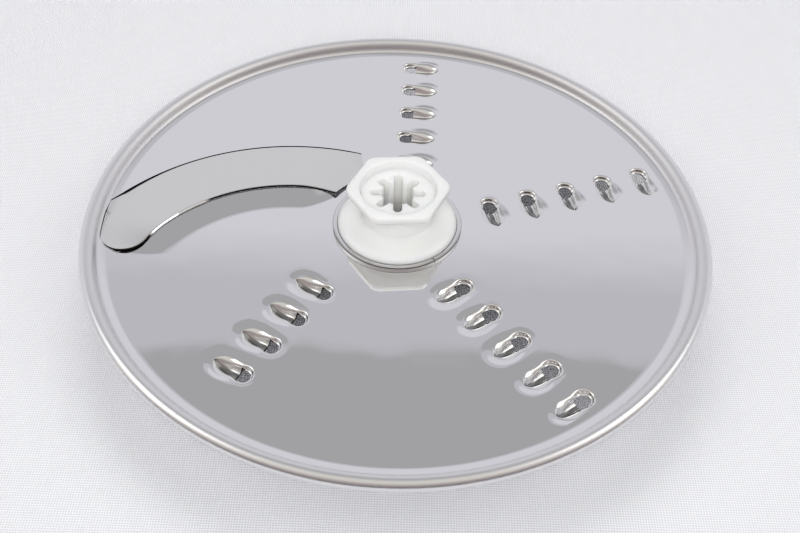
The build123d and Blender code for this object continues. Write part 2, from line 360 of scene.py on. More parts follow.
@dataclass(frozen=True)
class Sheet:
    """Sizes of the steel sheet, plate and rolled rim, in millimetres and degrees."""

    rim_radius: float
    thickness: float = 0.8
    bead_radius: float = 2.1
    bead_rise: float = 1.4
    bead_curl: float = 290.0
    cove_radius: float = 2.0
    cove_share: float = 0.995
    cove_first: float = 0.98
    hole_radius: float = 17.05
    flat_radius: float = 80.4
    dish_run: float = 1.0
    dish_slope: float = 8.0

    @property
    def bead_centre(self) -> Array:
        """Centre of the bead's tube, as radius and height."""
        return np.array([self.rim_radius - self.bead_radius, self.bead_rise])

    @property
    def cove_face(self) -> float:
        """Radius of the cove's upper face."""
        return self.cove_radius - self.thickness / 2

    def dish(self, radius: Array) -> Array:
        """Height of the plate's dished edge: a parabola, then a straight slope.

        Args:
            radius: radii.

        Returns:
            Heights above the plate's upper face.
        """
        rise = math.tan(math.radians(self.dish_slope))
        out = np.maximum(radius - self.flat_radius, 0.0)
        bend = np.minimum(out, self.dish_run)
        return rise * (bend**2 / (2 * self.dish_run) + out - bend)

    @property
    def cove_start(self) -> float:
        """Where the cove's arc leaves the dished edge: it touches that slope and the bead's circle.

        Returns:
            Radius, the lesser root of the square equation that the two contacts give.
        """
        turn, arc = math.radians(self.dish_slope), self.cove_face
        rise = math.tan(turn)
        level = -rise * (self.flat_radius + self.dish_run / 2)
        side = self.bead_centre[0] + arc * math.sin(turn)
        above = self.bead_centre[1] - level - arc * math.cos(turn)
        middle = (side + rise * above) / (1 + rise**2)
        square = (side**2 + above**2 - (arc + self.bead_radius) ** 2) / (1 + rise**2)
        return middle - math.sqrt(middle**2 - square)

    @property
    def cove_centre(self) -> Array:
        """Centre of the cove's arc, square to the dished edge where the arc leaves it.

        Returns:
            Radius and height.
        """
        turn, arc = math.radians(self.dish_slope), self.cove_face
        start = self.cove_start
        height = float(self.dish(np.array(start)))
        return np.array([start - arc * math.sin(turn), height + arc * math.cos(turn)])

    def top(self, radius: Array) -> Array:
        """Height of the upper face of the plate, its dished edge and the cove.

        Args:
            radius: radii inside the bead.

        Returns:
            Heights above the plate's upper face.
        """
        arc = self.cove_face
        run = np.clip(radius - self.cove_centre[0], 0.0, self.cove_share * arc)
        cove = self.cove_centre[1] - np.sqrt(arc**2 - run**2)
        return np.where(radius > self.cove_start, cove, self.dish(radius))


@dataclass(frozen=True)
class BladeMarks:
    """Radii, centres and bearings of the blade's outline, or of the opening round it."""

    near: float
    far: float
    rim: float
    hub: float
    end: float
    end_centre: Array
    end_bearing: float
    end_reach: float
    hub_corner: float


@dataclass(frozen=True)
class BladeAnchors:
    """Ends of the lanced cuts, where the blade stays joined to the plate and to the rim."""

    root: Array
    slit: Array
    hook: Array
    tab: Array


@dataclass(frozen=True)
class BladePlan:
    """Plan of the lanced blade, its opening and its ramp, in millimetres and degrees.

    The blade lies between two arcs about one centre, so its outline is written as a near and a
    far distance from that centre at each bearing. Pairs are for the hub's end and the round end.
    """

    rim_radius: float
    ring_radius: float
    centre_share: float = 0.502
    centre_bearing: float = -132.25
    edge_share: float = 0.517
    edge_height: float = 2.2
    low_share: float = 0.55
    lift_ends: tuple[float, float] = (73.0, 157.0)
    lift_runs: tuple[float, float] = (16.0, 16.0)
    heel_drop: float = 0.12
    twist: float = 0.4
    twist_start: float = 118.0
    twist_run: float = 28.0
    width: float = 19.7
    station_power: float = 0.9
    edge_steps: tuple[float, ...] = (0.0, 0.004, 0.012)
    middle_steps: tuple[float, float] = (0.03, 0.97)
    heel_steps: tuple[float, ...] = (0.99, 1.0)
    edge_drop: float = 0.07
    bevel: float = 1.7
    least_bevel: float = 0.05
    ground_past: float = 2.0
    ground_runs: tuple[float, float] = (2.5, 5.0)
    land: float = 0.6
    facet: float = 0.34
    facet_start: float = 119.0
    facet_runs: tuple[float, float] = (6.0, 4.0)
    skirt: float = 0.3
    skirt_lead: float = 4.0
    skirt_run: float = 5.0
    end_radius: float = 6.9
    mouth_kerf: float = 0.4
    heel_kerf: float = 0.35
    end_kerf: float = 0.35
    rim_gap: float = 5.3
    hub_gap: float = 3.05
    tip_run: float = 8.0
    root_run: float = 3.1
    root_ease: float = 5.0
    slit_run: float = 1.4
    hook_run: float = 0.6
    tab_run: float = 4.4
    tab_ease: float = 3.2
    tab_side: float = 1.2
    tab_reach: float = 0.8
    ramp_width: float = 6.6
    ramp_height: float = 1.3
    ramp_power: float = 1.5
    ramp_least: float = 0.5
    ramp_hem: float = 0.6
    ramp_end: float = 0.95
    ramp_rises: tuple[float, float] = (8.0, 17.0)
    ramp_spreads: tuple[float, float] = (14.0, 9.0)

    @property
    def centre(self) -> Array:
        """Common centre of the blade's arcs."""
        return on_circle(ORIGIN, self.centre_share * self.rim_radius, self.centre_bearing)

    @property
    def edge_radius(self) -> float:
        """Radius of the cutting edge."""
        return self.edge_share * self.rim_radius

    @property
    def heel_radius(self) -> float:
        """Radius of the back edge."""
        return self.edge_radius + self.width

    def lift_share(self, bearing: Array) -> Array:
        """Share of the edge's height at bearings, 1 along the middle and less at both ends."""
        middle = plateau(bearing, self.lift_ends, self.lift_runs)
        return self.low_share + (1.0 - self.low_share) * middle

    def marks(self, grow: bool) -> BladeMarks:
        """Corners and end circles of the blade, or of the opening round it.

        Args:
            grow: take the opening, with its kerfs, instead of the blade.

        Returns:
            Radii, centres and bearings.
        """
        side = self.end_kerf if grow else 0.0
        near = self.edge_radius - (self.mouth_kerf if grow else 0.0)
        far = self.heel_radius + (self.heel_kerf if grow else 0.0)
        rim = self.rim_radius - self.rim_gap + side
        hub = self.ring_radius + self.hub_gap - side
        end = self.end_radius + side
        end_centre = crossing(self.centre, near + end, ORIGIN, rim - end)
        return BladeMarks(
            near=near,
            far=far,
            rim=rim,
            hub=hub,
            end=end,
            end_centre=end_centre,
            end_bearing=bearing_of(self.centre, end_centre),
            end_reach=float(np.hypot(*(end_centre - self.centre))),
            hub_corner=bearing_of(self.centre, crossing(self.centre, near, ORIGIN, hub)),
        )

    def anchors(self) -> BladeAnchors:
        """Ends of the lanced cuts, set off from the blade's corners along their arcs.

        Returns:
            Points in plan where the blade stays joined to the plate and to the rim.
        """
        blade, cut = self.marks(False), self.marks(True)
        rim_corner = crossing(self.centre, blade.far, ORIGIN, blade.rim)
        hub_corner = crossing(self.centre, blade.near, ORIGIN, blade.hub)
        corner_turn = bearing_of(self.centre, hub_corner)
        tip_turn = bearing_of(ORIGIN, hub_corner) - math.degrees(self.tip_run / blade.hub)
        root_turn = tip_turn - math.degrees(self.root_run / cut.hub)
        hook_turn = bearing_of(self.centre, rim_corner) - math.degrees(self.hook_run / cut.far)
        tab_turn = bearing_of(ORIGIN, rim_corner) + math.degrees(self.tab_run / cut.rim)
        slit_turn = corner_turn - math.degrees(self.slit_run / cut.far)
        return BladeAnchors(
            root=on_circle(ORIGIN, cut.hub, root_turn),
            slit=on_circle(self.centre, cut.far, slit_turn),
            hook=on_circle(self.centre, cut.far, hook_turn),
            tab=on_circle(ORIGIN, cut.rim, tab_turn),
        )

    def limits(self, bearing: Array, grow: bool) -> tuple[Array, Array]:
        """Near and far side of the blade or its opening at bearings about the centre.

        Args:
            bearing: bearings in degrees.
            grow: take the opening instead of the blade.

        Returns:
            Near and far distances from the centre.
        """
        m, a = self.marks(grow), self.anchors()
        near = np.full(bearing.shape, m.near)
        hub_side = ray_circle(self.centre, bearing, ORIGIN, m.hub, True)
        near = np.where(bearing < m.hub_corner, hub_side, near)
        end_near = ray_circle(self.centre, bearing, m.end_centre, m.end, False)
        near = np.where(bearing > m.end_bearing, end_near, near)
        far = np.full(bearing.shape, m.far)
        root_line = ray_line(self.centre, bearing, a.root, a.slit)
        far = np.where(bearing < bearing_of(self.centre, a.slit), root_line, far)
        tab_line = ray_line(self.centre, bearing, a.hook, a.tab)
        tab_zone = bearing > bearing_of(self.centre, a.hook)
        far = np.where(tab_zone, np.minimum(tab_line, far), far)
        rim_side = ray_circle(self.centre, bearing, ORIGIN, m.rim, True)
        far = np.where(tab_zone, np.minimum(rim_side, far), far)
        touch = on_circle(ORIGIN, m.rim, bearing_of(ORIGIN, m.end_centre))
        end_far = ray_circle(self.centre, bearing, m.end_centre, m.end, True)
        far = np.where(bearing > bearing_of(self.centre, touch), end_far, far)
        return near, np.maximum(far, near)

    def span(self, grow: bool) -> tuple[float, float]:
        """First and last bearing of the blade or its opening.

        Args:
            grow: take the opening instead of the blade.

        Returns:
            Bearings in degrees about the blade's centre.
        """
        m = self.marks(grow)
        last = m.end_bearing + math.degrees(math.asin(m.end / m.end_reach))
        return bearing_of(self.centre, self.anchors().root), last

    @property
    def ramp_last(self) -> float:
        """Bearing about the blade's centre where the ramp has died away under the round end."""
        end = self.marks(True).end_bearing
        return end + self.ramp_end * (self.span(True)[1] - end)

    def ramp_shares(self, bearing: Array) -> tuple[Array, Array]:
        """Shares, from 0 to 1, of the ramp's height and of its width at bearings."""
        ends = (self.marks(True).hub_corner, self.ramp_last)
        return plateau(bearing, ends, self.ramp_rises), plateau(bearing, ends, self.ramp_spreads)


@dataclass(frozen=True)
class ScoopForm:
    """Form of one pressed grating scoop, in millimetres and degrees.

    The nose lies towards negative x, the round see-through hole towards positive x. Shoulders and
    valleys are shares of the half width.
    """

    tip: float = -6.0
    mouth: float = 1.3
    hole_middle: float = 3.1
    bulge: float = 3.45
    waist: float = 2.95
    run: float = 4.2
    blunt_power: float = 2.4
    blunt_root: float = 0.8
    narrow_start: float = -2.2
    narrow_run: float = 2.9
    nose_shoulder: float = 0.62
    mouth_shoulder: float = 0.36
    nose_valley: float = 0.26
    mouth_valley: float = 0.5
    ease_start: float = -3.0
    tip_slope: float = 46.0
    mouth_slope: float = 62.0
    slope_power: float = 0.75
    hole_draw: float = 1.1
    hole_ease: float = 2.0
    bevel_push: float = 0.05
    bevel_drop: float = 0.11
    wall: float = 1.45
    ahead: float = 4.0
    beside: float = 5.4
    margin: float = 0.9
    sink: float = 0.21
    full_reach: float = 1.75
    reach_power: float = 1.5
    fade_share: float = 0.85
    fade_start: float = -2.5
    fade_run: float = 6.0
    thinning: float = 0.18
    least_half: float = 0.3
    least_draw: float = 0.03
    station_power: float = 1.4
    flat_power: float = 1.3

    def half_width(self, x: Array) -> Array:
        """Half of the nose's width: a blunt parabola that bulges, then narrows to the hole's.

        Args:
            x: distances along the scoop.

        Returns:
            Half widths.
        """
        t = np.clip((x - self.tip) / self.run, 0.0, 1.0)
        waisted = smoothstep((x - self.narrow_start) / self.narrow_run)
        blunt = (1.0 - (1.0 - t) ** self.blunt_power) ** self.blunt_root
        return self.bulge * blunt - (self.bulge - self.waist) * waisted

    def along(self, x: Array, nose: float, mouth: float) -> Array:
        """Ease a value at distances along the scoop from the nose's to the mouth's."""
        share = smoothstep((x - self.ease_start) / (self.mouth - self.ease_start))
        return nose + (mouth - nose) * share

    def slope(self, x: Array) -> Array:
        """Slope of the flanks in radians, growing by a power from the tip to the mouth."""
        share = np.clip((x - self.tip) / (self.mouth - self.tip), 0.0, 1.0) ** self.slope_power
        return np.radians(self.tip_slope + (self.mouth_slope - self.tip_slope) * share)

    def section(self, across: Array, slope: Array, shoulder: Array, valley: Array) -> Array:
        """Depth across the nose: a draw radius, a straight flank and a rounded valley.

        Args:
            across: distance from the middle as a share of the half width.
            slope: slope of the flank in radians.
            shoulder: share of the half width that the draw radius takes.
            valley: share of the half width that the valley's radius takes.

        Returns:
            Depths as shares of the half width.
        """
        draw, bowl = shoulder / np.sin(slope), valley / np.sin(slope)
        out = np.clip(1.0 - across, 0.0, shoulder)
        edge = draw - np.sqrt(np.maximum(draw**2 - out**2, 0.0))
        flank = shoulder * np.tan(slope / 2) + (1.0 - shoulder - across) * np.tan(slope)
        foot = shoulder * np.tan(slope / 2) + (1.0 - shoulder - valley) * np.tan(slope)
        middle = np.minimum(across, valley)
        floor = foot + valley * np.tan(slope / 2) - bowl + np.sqrt(bowl**2 - middle**2)
        return np.where(across > 1.0 - shoulder, edge, np.where(across < valley, floor, flank))

    def fade(self, x: Array) -> Array:
        """Strength of the draw-in, which dies away from the nose to the hole's end."""
        return 1.0 - self.fade_share * smoothstep((x - self.fade_start) / self.fade_run)

    def turn_share(self, x: Array, y: Array) -> Array:
        """Share of a bearing about the nose that lies ahead: 1 before the tip, 0 beside the bulge."""
        ahead = np.minimum((x - self.tip - self.run) / self.run, 0.0) ** 2
        return ahead / (ahead + (y / self.bulge) ** 2 + TINY)

    def reach(self, x: Array, y: Array, side: float) -> Array:
        """Distance from the outline at which the plate is flat again: the room there, less a margin.

        Args:
            x: distances along the scoop.
            y: distances across it.
            side: distance of the patch's border from the scoop's axis.

        Returns:
            Distances.
        """
        share = self.turn_share(x, y)
        room = side - np.where(x < self.tip + self.run, self.bulge, self.half_width(x))
        return self.margin * (self.ahead * self.bulge / self.run * share + room * (1.0 - share))

    def depth(self, x: Array, reach: Array) -> Array:
        """Depth of the draw-in at the outline, less where its reach to the flat is short."""
        room = np.minimum(1.0, reach / self.full_reach) ** self.reach_power
        return self.sink * self.fade(x) * room

    def dip(self, x: Array, gap: Array, reach: Array) -> Array:
        """Depth of the draw-in at a gap outside the outline, eased to the flat at its reach."""
        return self.depth(x, reach) * (1.0 - smoothstep(gap / reach)) ** 2

    def nose_patch(self, right: float, left: float, thickness: float) -> tuple[Array, Array]:
        """Both faces of the pressed nose: the draw-in and, inside the outline, the section.

        The section across is scaled by the half width at each station. Ahead of the bulge,
        the distance outside the outline is measured on an oval about the nose.

        Args:
            right: distance of the patch's border on the negative y side.
            left: distance of the patch's border on the positive y side.
            thickness: sheet thickness.

        Returns:
            Upper and lower face as grids of points, stations by points across.
        """
        before = np.linspace(self.tip - self.ahead, self.tip, FLAT_STATIONS + 1)[:-1]
        share = np.linspace(0.0, 1.0, NOSE_STATIONS) ** self.station_power
        along = self.tip + (self.mouth - self.tip) * share
        x = np.concatenate([before, along])[:, None]
        half = self.half_width(x)
        frame_half = np.maximum(half, self.least_half)
        inner = np.linspace(0.0, 1.0, NOSE_COLUMNS)[None, :]
        flat = np.linspace(0.0, 1.0, FLAT_COLUMNS + 1)[None, 1:] ** self.flat_power

        def half_span(side: float) -> Array:
            """Distances from the axis, outwards."""
            outside = frame_half + (side - frame_half) * flat
            return np.concatenate([frame_half * inner, outside], 1)

        left_y, right_y = half_span(left), half_span(right)
        y = np.concatenate([-right_y[:, :0:-1], left_y], 1)
        oval = np.hypot((x - self.tip - self.run) / self.run, y / self.bulge)
        front = x < self.tip + self.run
        gap = np.where(front, self.bulge * (oval - 1.0), np.abs(y) - half)
        reach_right, reach_left = self.reach(x, half, right), self.reach(x, half, left)
        reach = np.where(y < 0.0, self.reach(x, y, right), self.reach(x, y, left))
        across = np.clip(np.abs(y) / np.maximum(half, TINY), 0.0, 1.0)
        blend = smoothstep((np.sign(y) * across + 1.0) / 2)
        base = self.depth(x, reach_right) * (1.0 - blend) + self.depth(x, reach_left) * blend
        outside = (x < self.tip) | (np.abs(y) >= half)
        halo = np.where(outside, self.dip(x, np.maximum(gap, 0.0), reach), base)
        slope = self.slope(x)
        shoulder = self.along(x, self.nose_shoulder, self.mouth_shoulder)
        valley = self.along(x, self.nose_valley, self.mouth_valley)
        upper_z = np.where(outside, 0.0, half * self.section(across, slope, shoulder, valley))
        less = thickness * np.sin(slope) / np.maximum(half, TINY)
        draw = np.clip(shoulder - less, self.least_draw, shoulder)
        bowl = valley + shoulder - draw
        lower_z = np.where(outside, 0.0, half * self.section(across, slope, draw, bowl))
        wall = thickness - self.thinning * (1.0 - across**2) * np.minimum(1.0, half / self.waist)
        wide = np.broadcast_to(x, y.shape)
        upper = np.stack([wide, y, -halo - upper_z], -1)
        lower = np.stack([wide, y, -halo - lower_z - wall], -1)
        return upper, lower

    def hole_outline(self) -> tuple[Array, Array]:
        """Outline of the hole's draw radius, from one side of the mouth to the other.

        Returns:
            Points in plan and outward normals.
        """
        straight = np.linspace(self.mouth, self.hole_middle, HOLE_SIDE)[:-1]
        turn = np.linspace(-np.pi / 2, np.pi / 2, HOLE_END)
        low = np.stack([straight, np.full_like(straight, -self.waist)], -1)
        high = np.stack([straight[::-1], np.full_like(straight, self.waist)], -1)
        normal = np.stack([np.cos(turn), np.sin(turn)], -1)
        end = self.waist * normal + [self.hole_middle, 0.0]
        down = np.tile([0.0, -1.0], (len(low), 1))
        return np.concatenate([low, end, high]), np.concatenate([down, normal, -down])

    def hole_patch(self, right: float, left: float, thickness: float) -> tuple[Array, Array]:
        """Both faces round the see-through hole, from the flat down to the end of its wall.

        The outline is set off along its normals, outwards over the draw-in and inwards over
        an edge that changes from the mouth's draw radius to a rounded bevel.

        Args:
            right: distance of the patch's border on the negative y side.
            left: distance of the patch's border on the positive y side.
            thickness: sheet thickness.

        Returns:
            Upper face with the wall, and lower face, as grids of points.
        """
        outline, normal = self.hole_outline()
        share = (1.0 + normal[:, 1:]) / 2
        border = right * (1.0 - share) + left * share - self.waist
        reach = self.margin * border
        slope = self.slope(np.array(self.mouth))
        mouth_draw = self.mouth_shoulder * self.waist / np.sin(slope)
        ease = smoothstep((outline[:, :1] - self.mouth) / self.hole_ease)
        step = np.linspace(0.0, 1.0, HOLE_STEPS)[None, :]
        turn = slope * step
        round_in, round_down = mouth_draw * np.sin(turn), mouth_draw * (1.0 - np.cos(turn))
        bevel_in = self.hole_draw * (step + self.bevel_push * np.sin(2 * np.pi * step))
        bevel_down = self.hole_draw * (step - self.bevel_drop * np.sin(2 * np.pi * step))
        inward = round_in * (1.0 - ease) + bevel_in * ease
        down = round_down * (1.0 - ease) + bevel_down * ease
        flat = border * np.linspace(1.0, 0.0, FLAT_COLUMNS + 1)[None, :-1] ** self.flat_power
        gap = np.concatenate([flat, -inward, -inward[:, -1:]], 1)
        fall = np.concatenate([np.zeros_like(flat), down, np.full_like(ease, self.wall)], 1)
        dip = self.dip(outline[:, :1], np.maximum(gap, 0.0), reach)
        under = smoothstep(-gap / inward[:, -1:]) * (self.wall - thickness)
        plan = outline[:, None] + normal[:, None] * gap[..., None]
        upper = lift(plan, -dip - fall)
        lower = lift(plan, -dip - thickness - under)
        return upper, lower


@dataclass(frozen=True)
class ScoopRow:
    """A straight row of scoops that passes beside the disc's centre.

    Bearing and heading are in degrees, the side offset in millimetres, the first middle and the
    pitch are shares of the rim's radius.
    """

    bearing: float
    heading: float
    side: float
    first: float
    pitch: float
    count: int


@dataclass(frozen=True)
class ScoopPlace:
    """Where a scoop sits: middle in plan, heading in degrees, room to its right and to its left."""

    middle: Array
    heading: float
    right: float
    left: float

    def put(self, points: Array) -> Array:
        """Turn and move points of a scoop to their place on the plate.

        Args:
            points: points in the scoop's own frame.

        Returns:
            Points in the disc's frame.
        """
        turn = math.radians(self.heading)
        matrix = np.array([[math.cos(turn), math.sin(turn)], [-math.sin(turn), math.cos(turn)]])
        return np.concatenate([points[..., :2] @ matrix + self.middle, points[..., 2:]], -1)


@dataclass
class PressedDisc:
    """The stainless pressing: plate, rolled rim, lanced blade and grating scoops."""

    sheet: Sheet
    plan: BladePlan
    scoop: ScoopForm
    rows: tuple[ScoopRow, ...]
    column_step: float = 2.0
    close_step: float = 0.25
    close_zone: tuple[float, float] = (168.0, 194.0)
    end_zone: tuple[float, float] = (165.0, 195.0)
    flat_rows: int = 9
    cove_rows: int = 12
    bead_rows: int = 30
    curl_rows: int = 9
    under_rows: int = 8
    border_gap: float = 0.15
    lip_gap: float = 0.05

    def rim_bearings(self) -> Array:
        """Bearings of the rim's columns, closer together at the blade's end.

        Returns:
            Sorted bearings in degrees.
        """
        first, last = self.close_zone
        even = np.arange(0.0, 360.0, self.column_step)
        close = np.arange(first, last, self.close_step)
        return np.unique(np.concatenate([even[(even < first) | (even >= last)], close]))

    def rim_start(self, bearing: Array) -> Array:
        """Radius where the rim's patch begins, further out beside the blade's end.

        Args:
            bearing: bearings in degrees about the disc's centre.

        Returns:
            Radii.
        """
        m, a = self.plan.marks(True), self.plan.anchors()
        end_turn = bearing_of(ORIGIN, m.end_centre) % 360
        slit = ray_circle(ORIGIN, bearing, self.plan.centre, m.far, True)
        line = ray_line(ORIGIN, bearing, a.hook, a.tab)
        end = ray_circle(ORIGIN, bearing, m.end_centre, m.end, True)
        start = np.where(bearing < bearing_of(ORIGIN, a.hook) % 360, slit, line)
        start = np.where(bearing > bearing_of(ORIGIN, a.tab) % 360, m.rim, start)
        start = np.where(bearing > end_turn, end, start)
        zone = (bearing > self.end_zone[0]) & (bearing < self.end_zone[1])
        start = np.where(zone & (start < m.rim + SLACK), start, 0.0)
        return np.maximum(start, self.sheet.flat_radius)

    def add_rim(self, skin: Skin) -> None:
        """Add the dished edge, the cove and the curled bead: one section carried round the axis.

        Args:
            skin: mesh under way.
        """
        s = self.sheet
        bearing = self.rim_bearings()
        start = self.rim_start(bearing)[None, :]
        cove, bead = s.cove_centre, s.bead_centre
        meet = math.atan2(bead[1] - cove[1], bead[0] - cove[0]) + math.pi / 2

        def cove_arc(radius: float, steps: int) -> tuple[Array, Array]:
            """Arc of the cove from the patch's start to the bead.

            Args:
                radius: radius of the arc.
                steps: rows along it.

            Returns:
                Radii and heights, rows by bearings.
            """
            first = np.arcsin(np.clip((start - cove[0]) / radius, 0.0, s.cove_first))
            first = np.maximum(first, math.radians(s.dish_slope))
            turn = first + (meet - first) * np.linspace(0.0, 1.0, steps)[:, None]
            return cove[0] + radius * np.sin(turn), cove[1] - radius * np.cos(turn)

        def bead_arc(radius: float, steps: int) -> tuple[Array, Array]:
            """Arc of the bead's tube from the cove to the end of its curl.

            Args:
                radius: radius of the arc.
                steps: rows along it.

            Returns:
                Radii and heights, rows by bearings.
            """
            sweep = np.linspace(0.0, math.radians(s.bead_curl), steps)[:, None]
            turn = meet + math.pi / 2 - sweep
            one = np.ones_like(start)
            return bead[0] + radius * np.cos(turn) * one, bead[1] + radius * np.sin(turn) * one

        flat_share = np.linspace(0.0, 1.0, self.flat_rows)[:-1, None]
        flat = start + (np.maximum(start, s.cove_start) - start) * flat_share
        top_r, top_z = cove_arc(s.cove_face, self.cove_rows)
        out_r, out_z = bead_arc(s.bead_radius, self.bead_rows)
        in_r, in_z = bead_arc(s.bead_radius - s.thickness, self.curl_rows)
        low_r, low_z = cove_arc(s.cove_radius + s.thickness / 2, self.under_rows)
        radius = np.concatenate([flat, top_r, out_r[1:], in_r[::-1], low_r[-2::-1], flat[::-1]])
        flat_z = s.top(flat)
        low_flat_z = s.top(flat[::-1]) - s.thickness
        height = np.concatenate([flat_z, top_z, out_z[1:], in_z[::-1], low_z[-2::-1], low_flat_z])
        plan = on_circle(ORIGIN, radius, np.broadcast_to(bearing, radius.shape))
        skin.grid(lift(plan, height), around=True, flip=True)
        beside = (start[0] > s.flat_radius + SLACK).nonzero()[0]
        edge = on_circle(ORIGIN, start[0, beside], bearing[beside])
        top = s.top(start[0, beside])
        # The edges beside the blade's end are painted dark, for the shade in the gap there
        skin.finish = FinishAndShade.SHADED_EDGE
        skin.grid(np.stack([lift(edge, top), lift(edge, top - s.thickness)]))
        skin.finish = FinishAndShade.MIRROR

    def scoop_places(self) -> list[ScoopPlace]:
        """Places of the scoops, with less room on the side where the flat of the plate ends.

        Returns:
            One place for each scoop.
        """
        places = []
        form = self.scoop
        for row in self.rows:
            start = on_circle(ORIGIN, row.side, row.bearing + 90.0)
            ahead = on_circle(ORIGIN, 1.0, row.heading)
            left = np.array([-ahead[1], ahead[0]])
            for step in range(row.count):
                reach = (row.first + step * row.pitch) * self.sheet.rim_radius
                middle = on_circle(start, reach, row.bearing)
                along, beside = float(middle @ ahead), float(middle @ left)
                ends = along + np.array([form.tip - form.ahead, form.hole_middle + form.beside])
                limit = math.sqrt(self.sheet.flat_radius**2 - float(np.max(ends**2)))
                room = min(form.beside, limit - abs(beside) - self.border_gap)
                sides = (form.beside, room) if beside > 0.0 else (room, form.beside)
                places.append(ScoopPlace(middle, row.heading, *sides))
        return places

    def add_scoops(self, skin: Skin) -> list[Array]:
        """Add the grating scoops.

        Args:
            skin: mesh under way.

        Returns:
            Outline of each scoop's patch in plan.
        """
        outlines = []
        t = self.sheet.thickness
        tip, side, valley = FLAT_STATIONS, FLAT_COLUMNS, VALLEY_COLUMNS
        clear = (1.0 - self.scoop.mouth_shoulder) * self.scoop.waist
        for place in self.scoop_places():
            nose, nose_low = self.scoop.nose_patch(place.right, place.left, t)
            rim, rim_low = self.scoop.hole_patch(place.right, place.left, t)
            border = np.concatenate([nose[:, 0], rim[1:-1, 0], nose[::-1, -1], nose[0, -2:0:-1]])
            bowl = np.abs(nose[-1, :, 1]) < clear + self.lip_gap
            lip = np.stack([nose[-1, bowl], nose_low[-1, bowl]])
            upper, hole = place.put(nose), place.put(rim)
            skin.grid(upper[: tip + 1], Side.UP)
            skin.grid(upper[tip:, : side + 1], Side.UP)
            skin.grid(upper[tip:, -side - 1 :], Side.UP)
            skin.grid(hole[:, : side + 1], Side.UP)
            skin.grid(place.put(nose_low), Side.DOWN)
            skin.grid(place.put(rim_low), Side.DOWN)
            skin.finish = FinishAndShade.PRESSED
            centre = upper.shape[1] // 2
            skin.grid(upper[tip:, side : centre - valley + 1], Side.UP)
            skin.grid(upper[tip:, centre + valley : -side], Side.UP)
            skin.grid(hole[:, side:], Side.UP)
            # The valley's floor is painted dark, for the shade in the scoop's hollow
            skin.finish = FinishAndShade.SHADED_VALLEY
            skin.grid(upper[tip:, centre - valley : centre + valley + 1], Side.UP)
            # The mouth's cut edge is painted dark, for the shade there
            skin.finish = FinishAndShade.SHADED_EDGE
            skin.grid(place.put(lip))
            skin.finish = FinishAndShade.MIRROR
            outlines.append(place.put(border)[:, :2])
        return outlines

    def blade_height(self, plan: Array) -> Array:
        """Height of the blade's upper face: a twisted cone, eased into the tabs that hold it.

        Args:
            plan: points in plan.

        Returns:
            Heights above the plate's upper face.
        """
        p, a = self.plan, self.plan.anchors()
        distance = np.linalg.norm(plan - p.centre, axis=-1)
        turn = np.degrees(np.arctan2(plan[..., 1] - p.centre[1], plan[..., 0] - p.centre[0]))
        share = (distance - p.edge_radius) / p.width
        edge = p.edge_height * p.lift_share(turn)
        cone = edge - (edge + p.heel_drop) * share
        twist = p.twist * smoothstep((turn - p.twist_start) / p.twist_run)
        cone = cone - twist * np.clip(share, 0.0, 1.0) ** 2

        def gap_to(start: Array, end: Array) -> Array:
            """Distance of the points from a line."""
            run = end - start
            return np.abs((plan - start) @ np.array([run[1], -run[0]])) / np.hypot(*run)

        plate = 1.0 - smoothstep(gap_to(a.root, a.slit) / p.root_ease)
        rim_near = 1.0 - smoothstep(gap_to(a.hook, a.tab) / p.tab_ease)
        rim_side = smoothstep((plan[..., 1] - a.tab[1] + p.tab_side) / p.tab_side)
        rim = rim_near * rim_side * (plan[..., 0] < p.tab_reach * a.tab[0])
        cove = self.sheet.top(np.linalg.norm(plan, axis=-1))
        return cone * (1.0 - plate) * (1.0 - rim) + cove * rim

    def add_blade(self, skin: Skin) -> None:
        """Add the blade with its ground edge: bearings by shares of the way from edge to heel.

        Args:
            skin: mesh under way.
        """
        p, t = self.plan, self.sheet.thickness
        m = p.marks(False)
        first, last = p.span(False)
        share = np.linspace(0.0, 1.0, BLADE_STATIONS)
        bearing = first + (last - first) * (0.5 - 0.5 * np.cos(np.pi * share)) ** p.station_power
        near, far = p.limits(bearing, False)
        middle = np.linspace(*p.middle_steps, BLADE_COLUMNS)
        step = np.concatenate([p.edge_steps, middle, p.heel_steps])
        reach = near[:, None] + (far - near)[:, None] * step
        plan = on_circle(p.centre, reach, bearing[:, None])
        soft = p.edge_drop * np.maximum(0.0, 1.0 - step / p.edge_steps[-1]) ** 2
        upper = lift(plan, self.blade_height(plan) - soft)
        ground = plateau(bearing, (m.hub_corner, m.end_bearing + p.ground_past), p.ground_runs)
        bevel = np.minimum(p.bevel * ground + p.least_bevel, (far - near) / 2)
        low_reach = reach + bevel[:, None] * (1.0 - step)
        low_plan = on_circle(p.centre, low_reach, bearing[:, None])
        lower = lift(low_plan, self.blade_height(low_plan) - t)
        skin.finish = FinishAndShade.SATIN
        skin.grid(upper, Side.UP)
        skin.grid(lower, Side.DOWN)
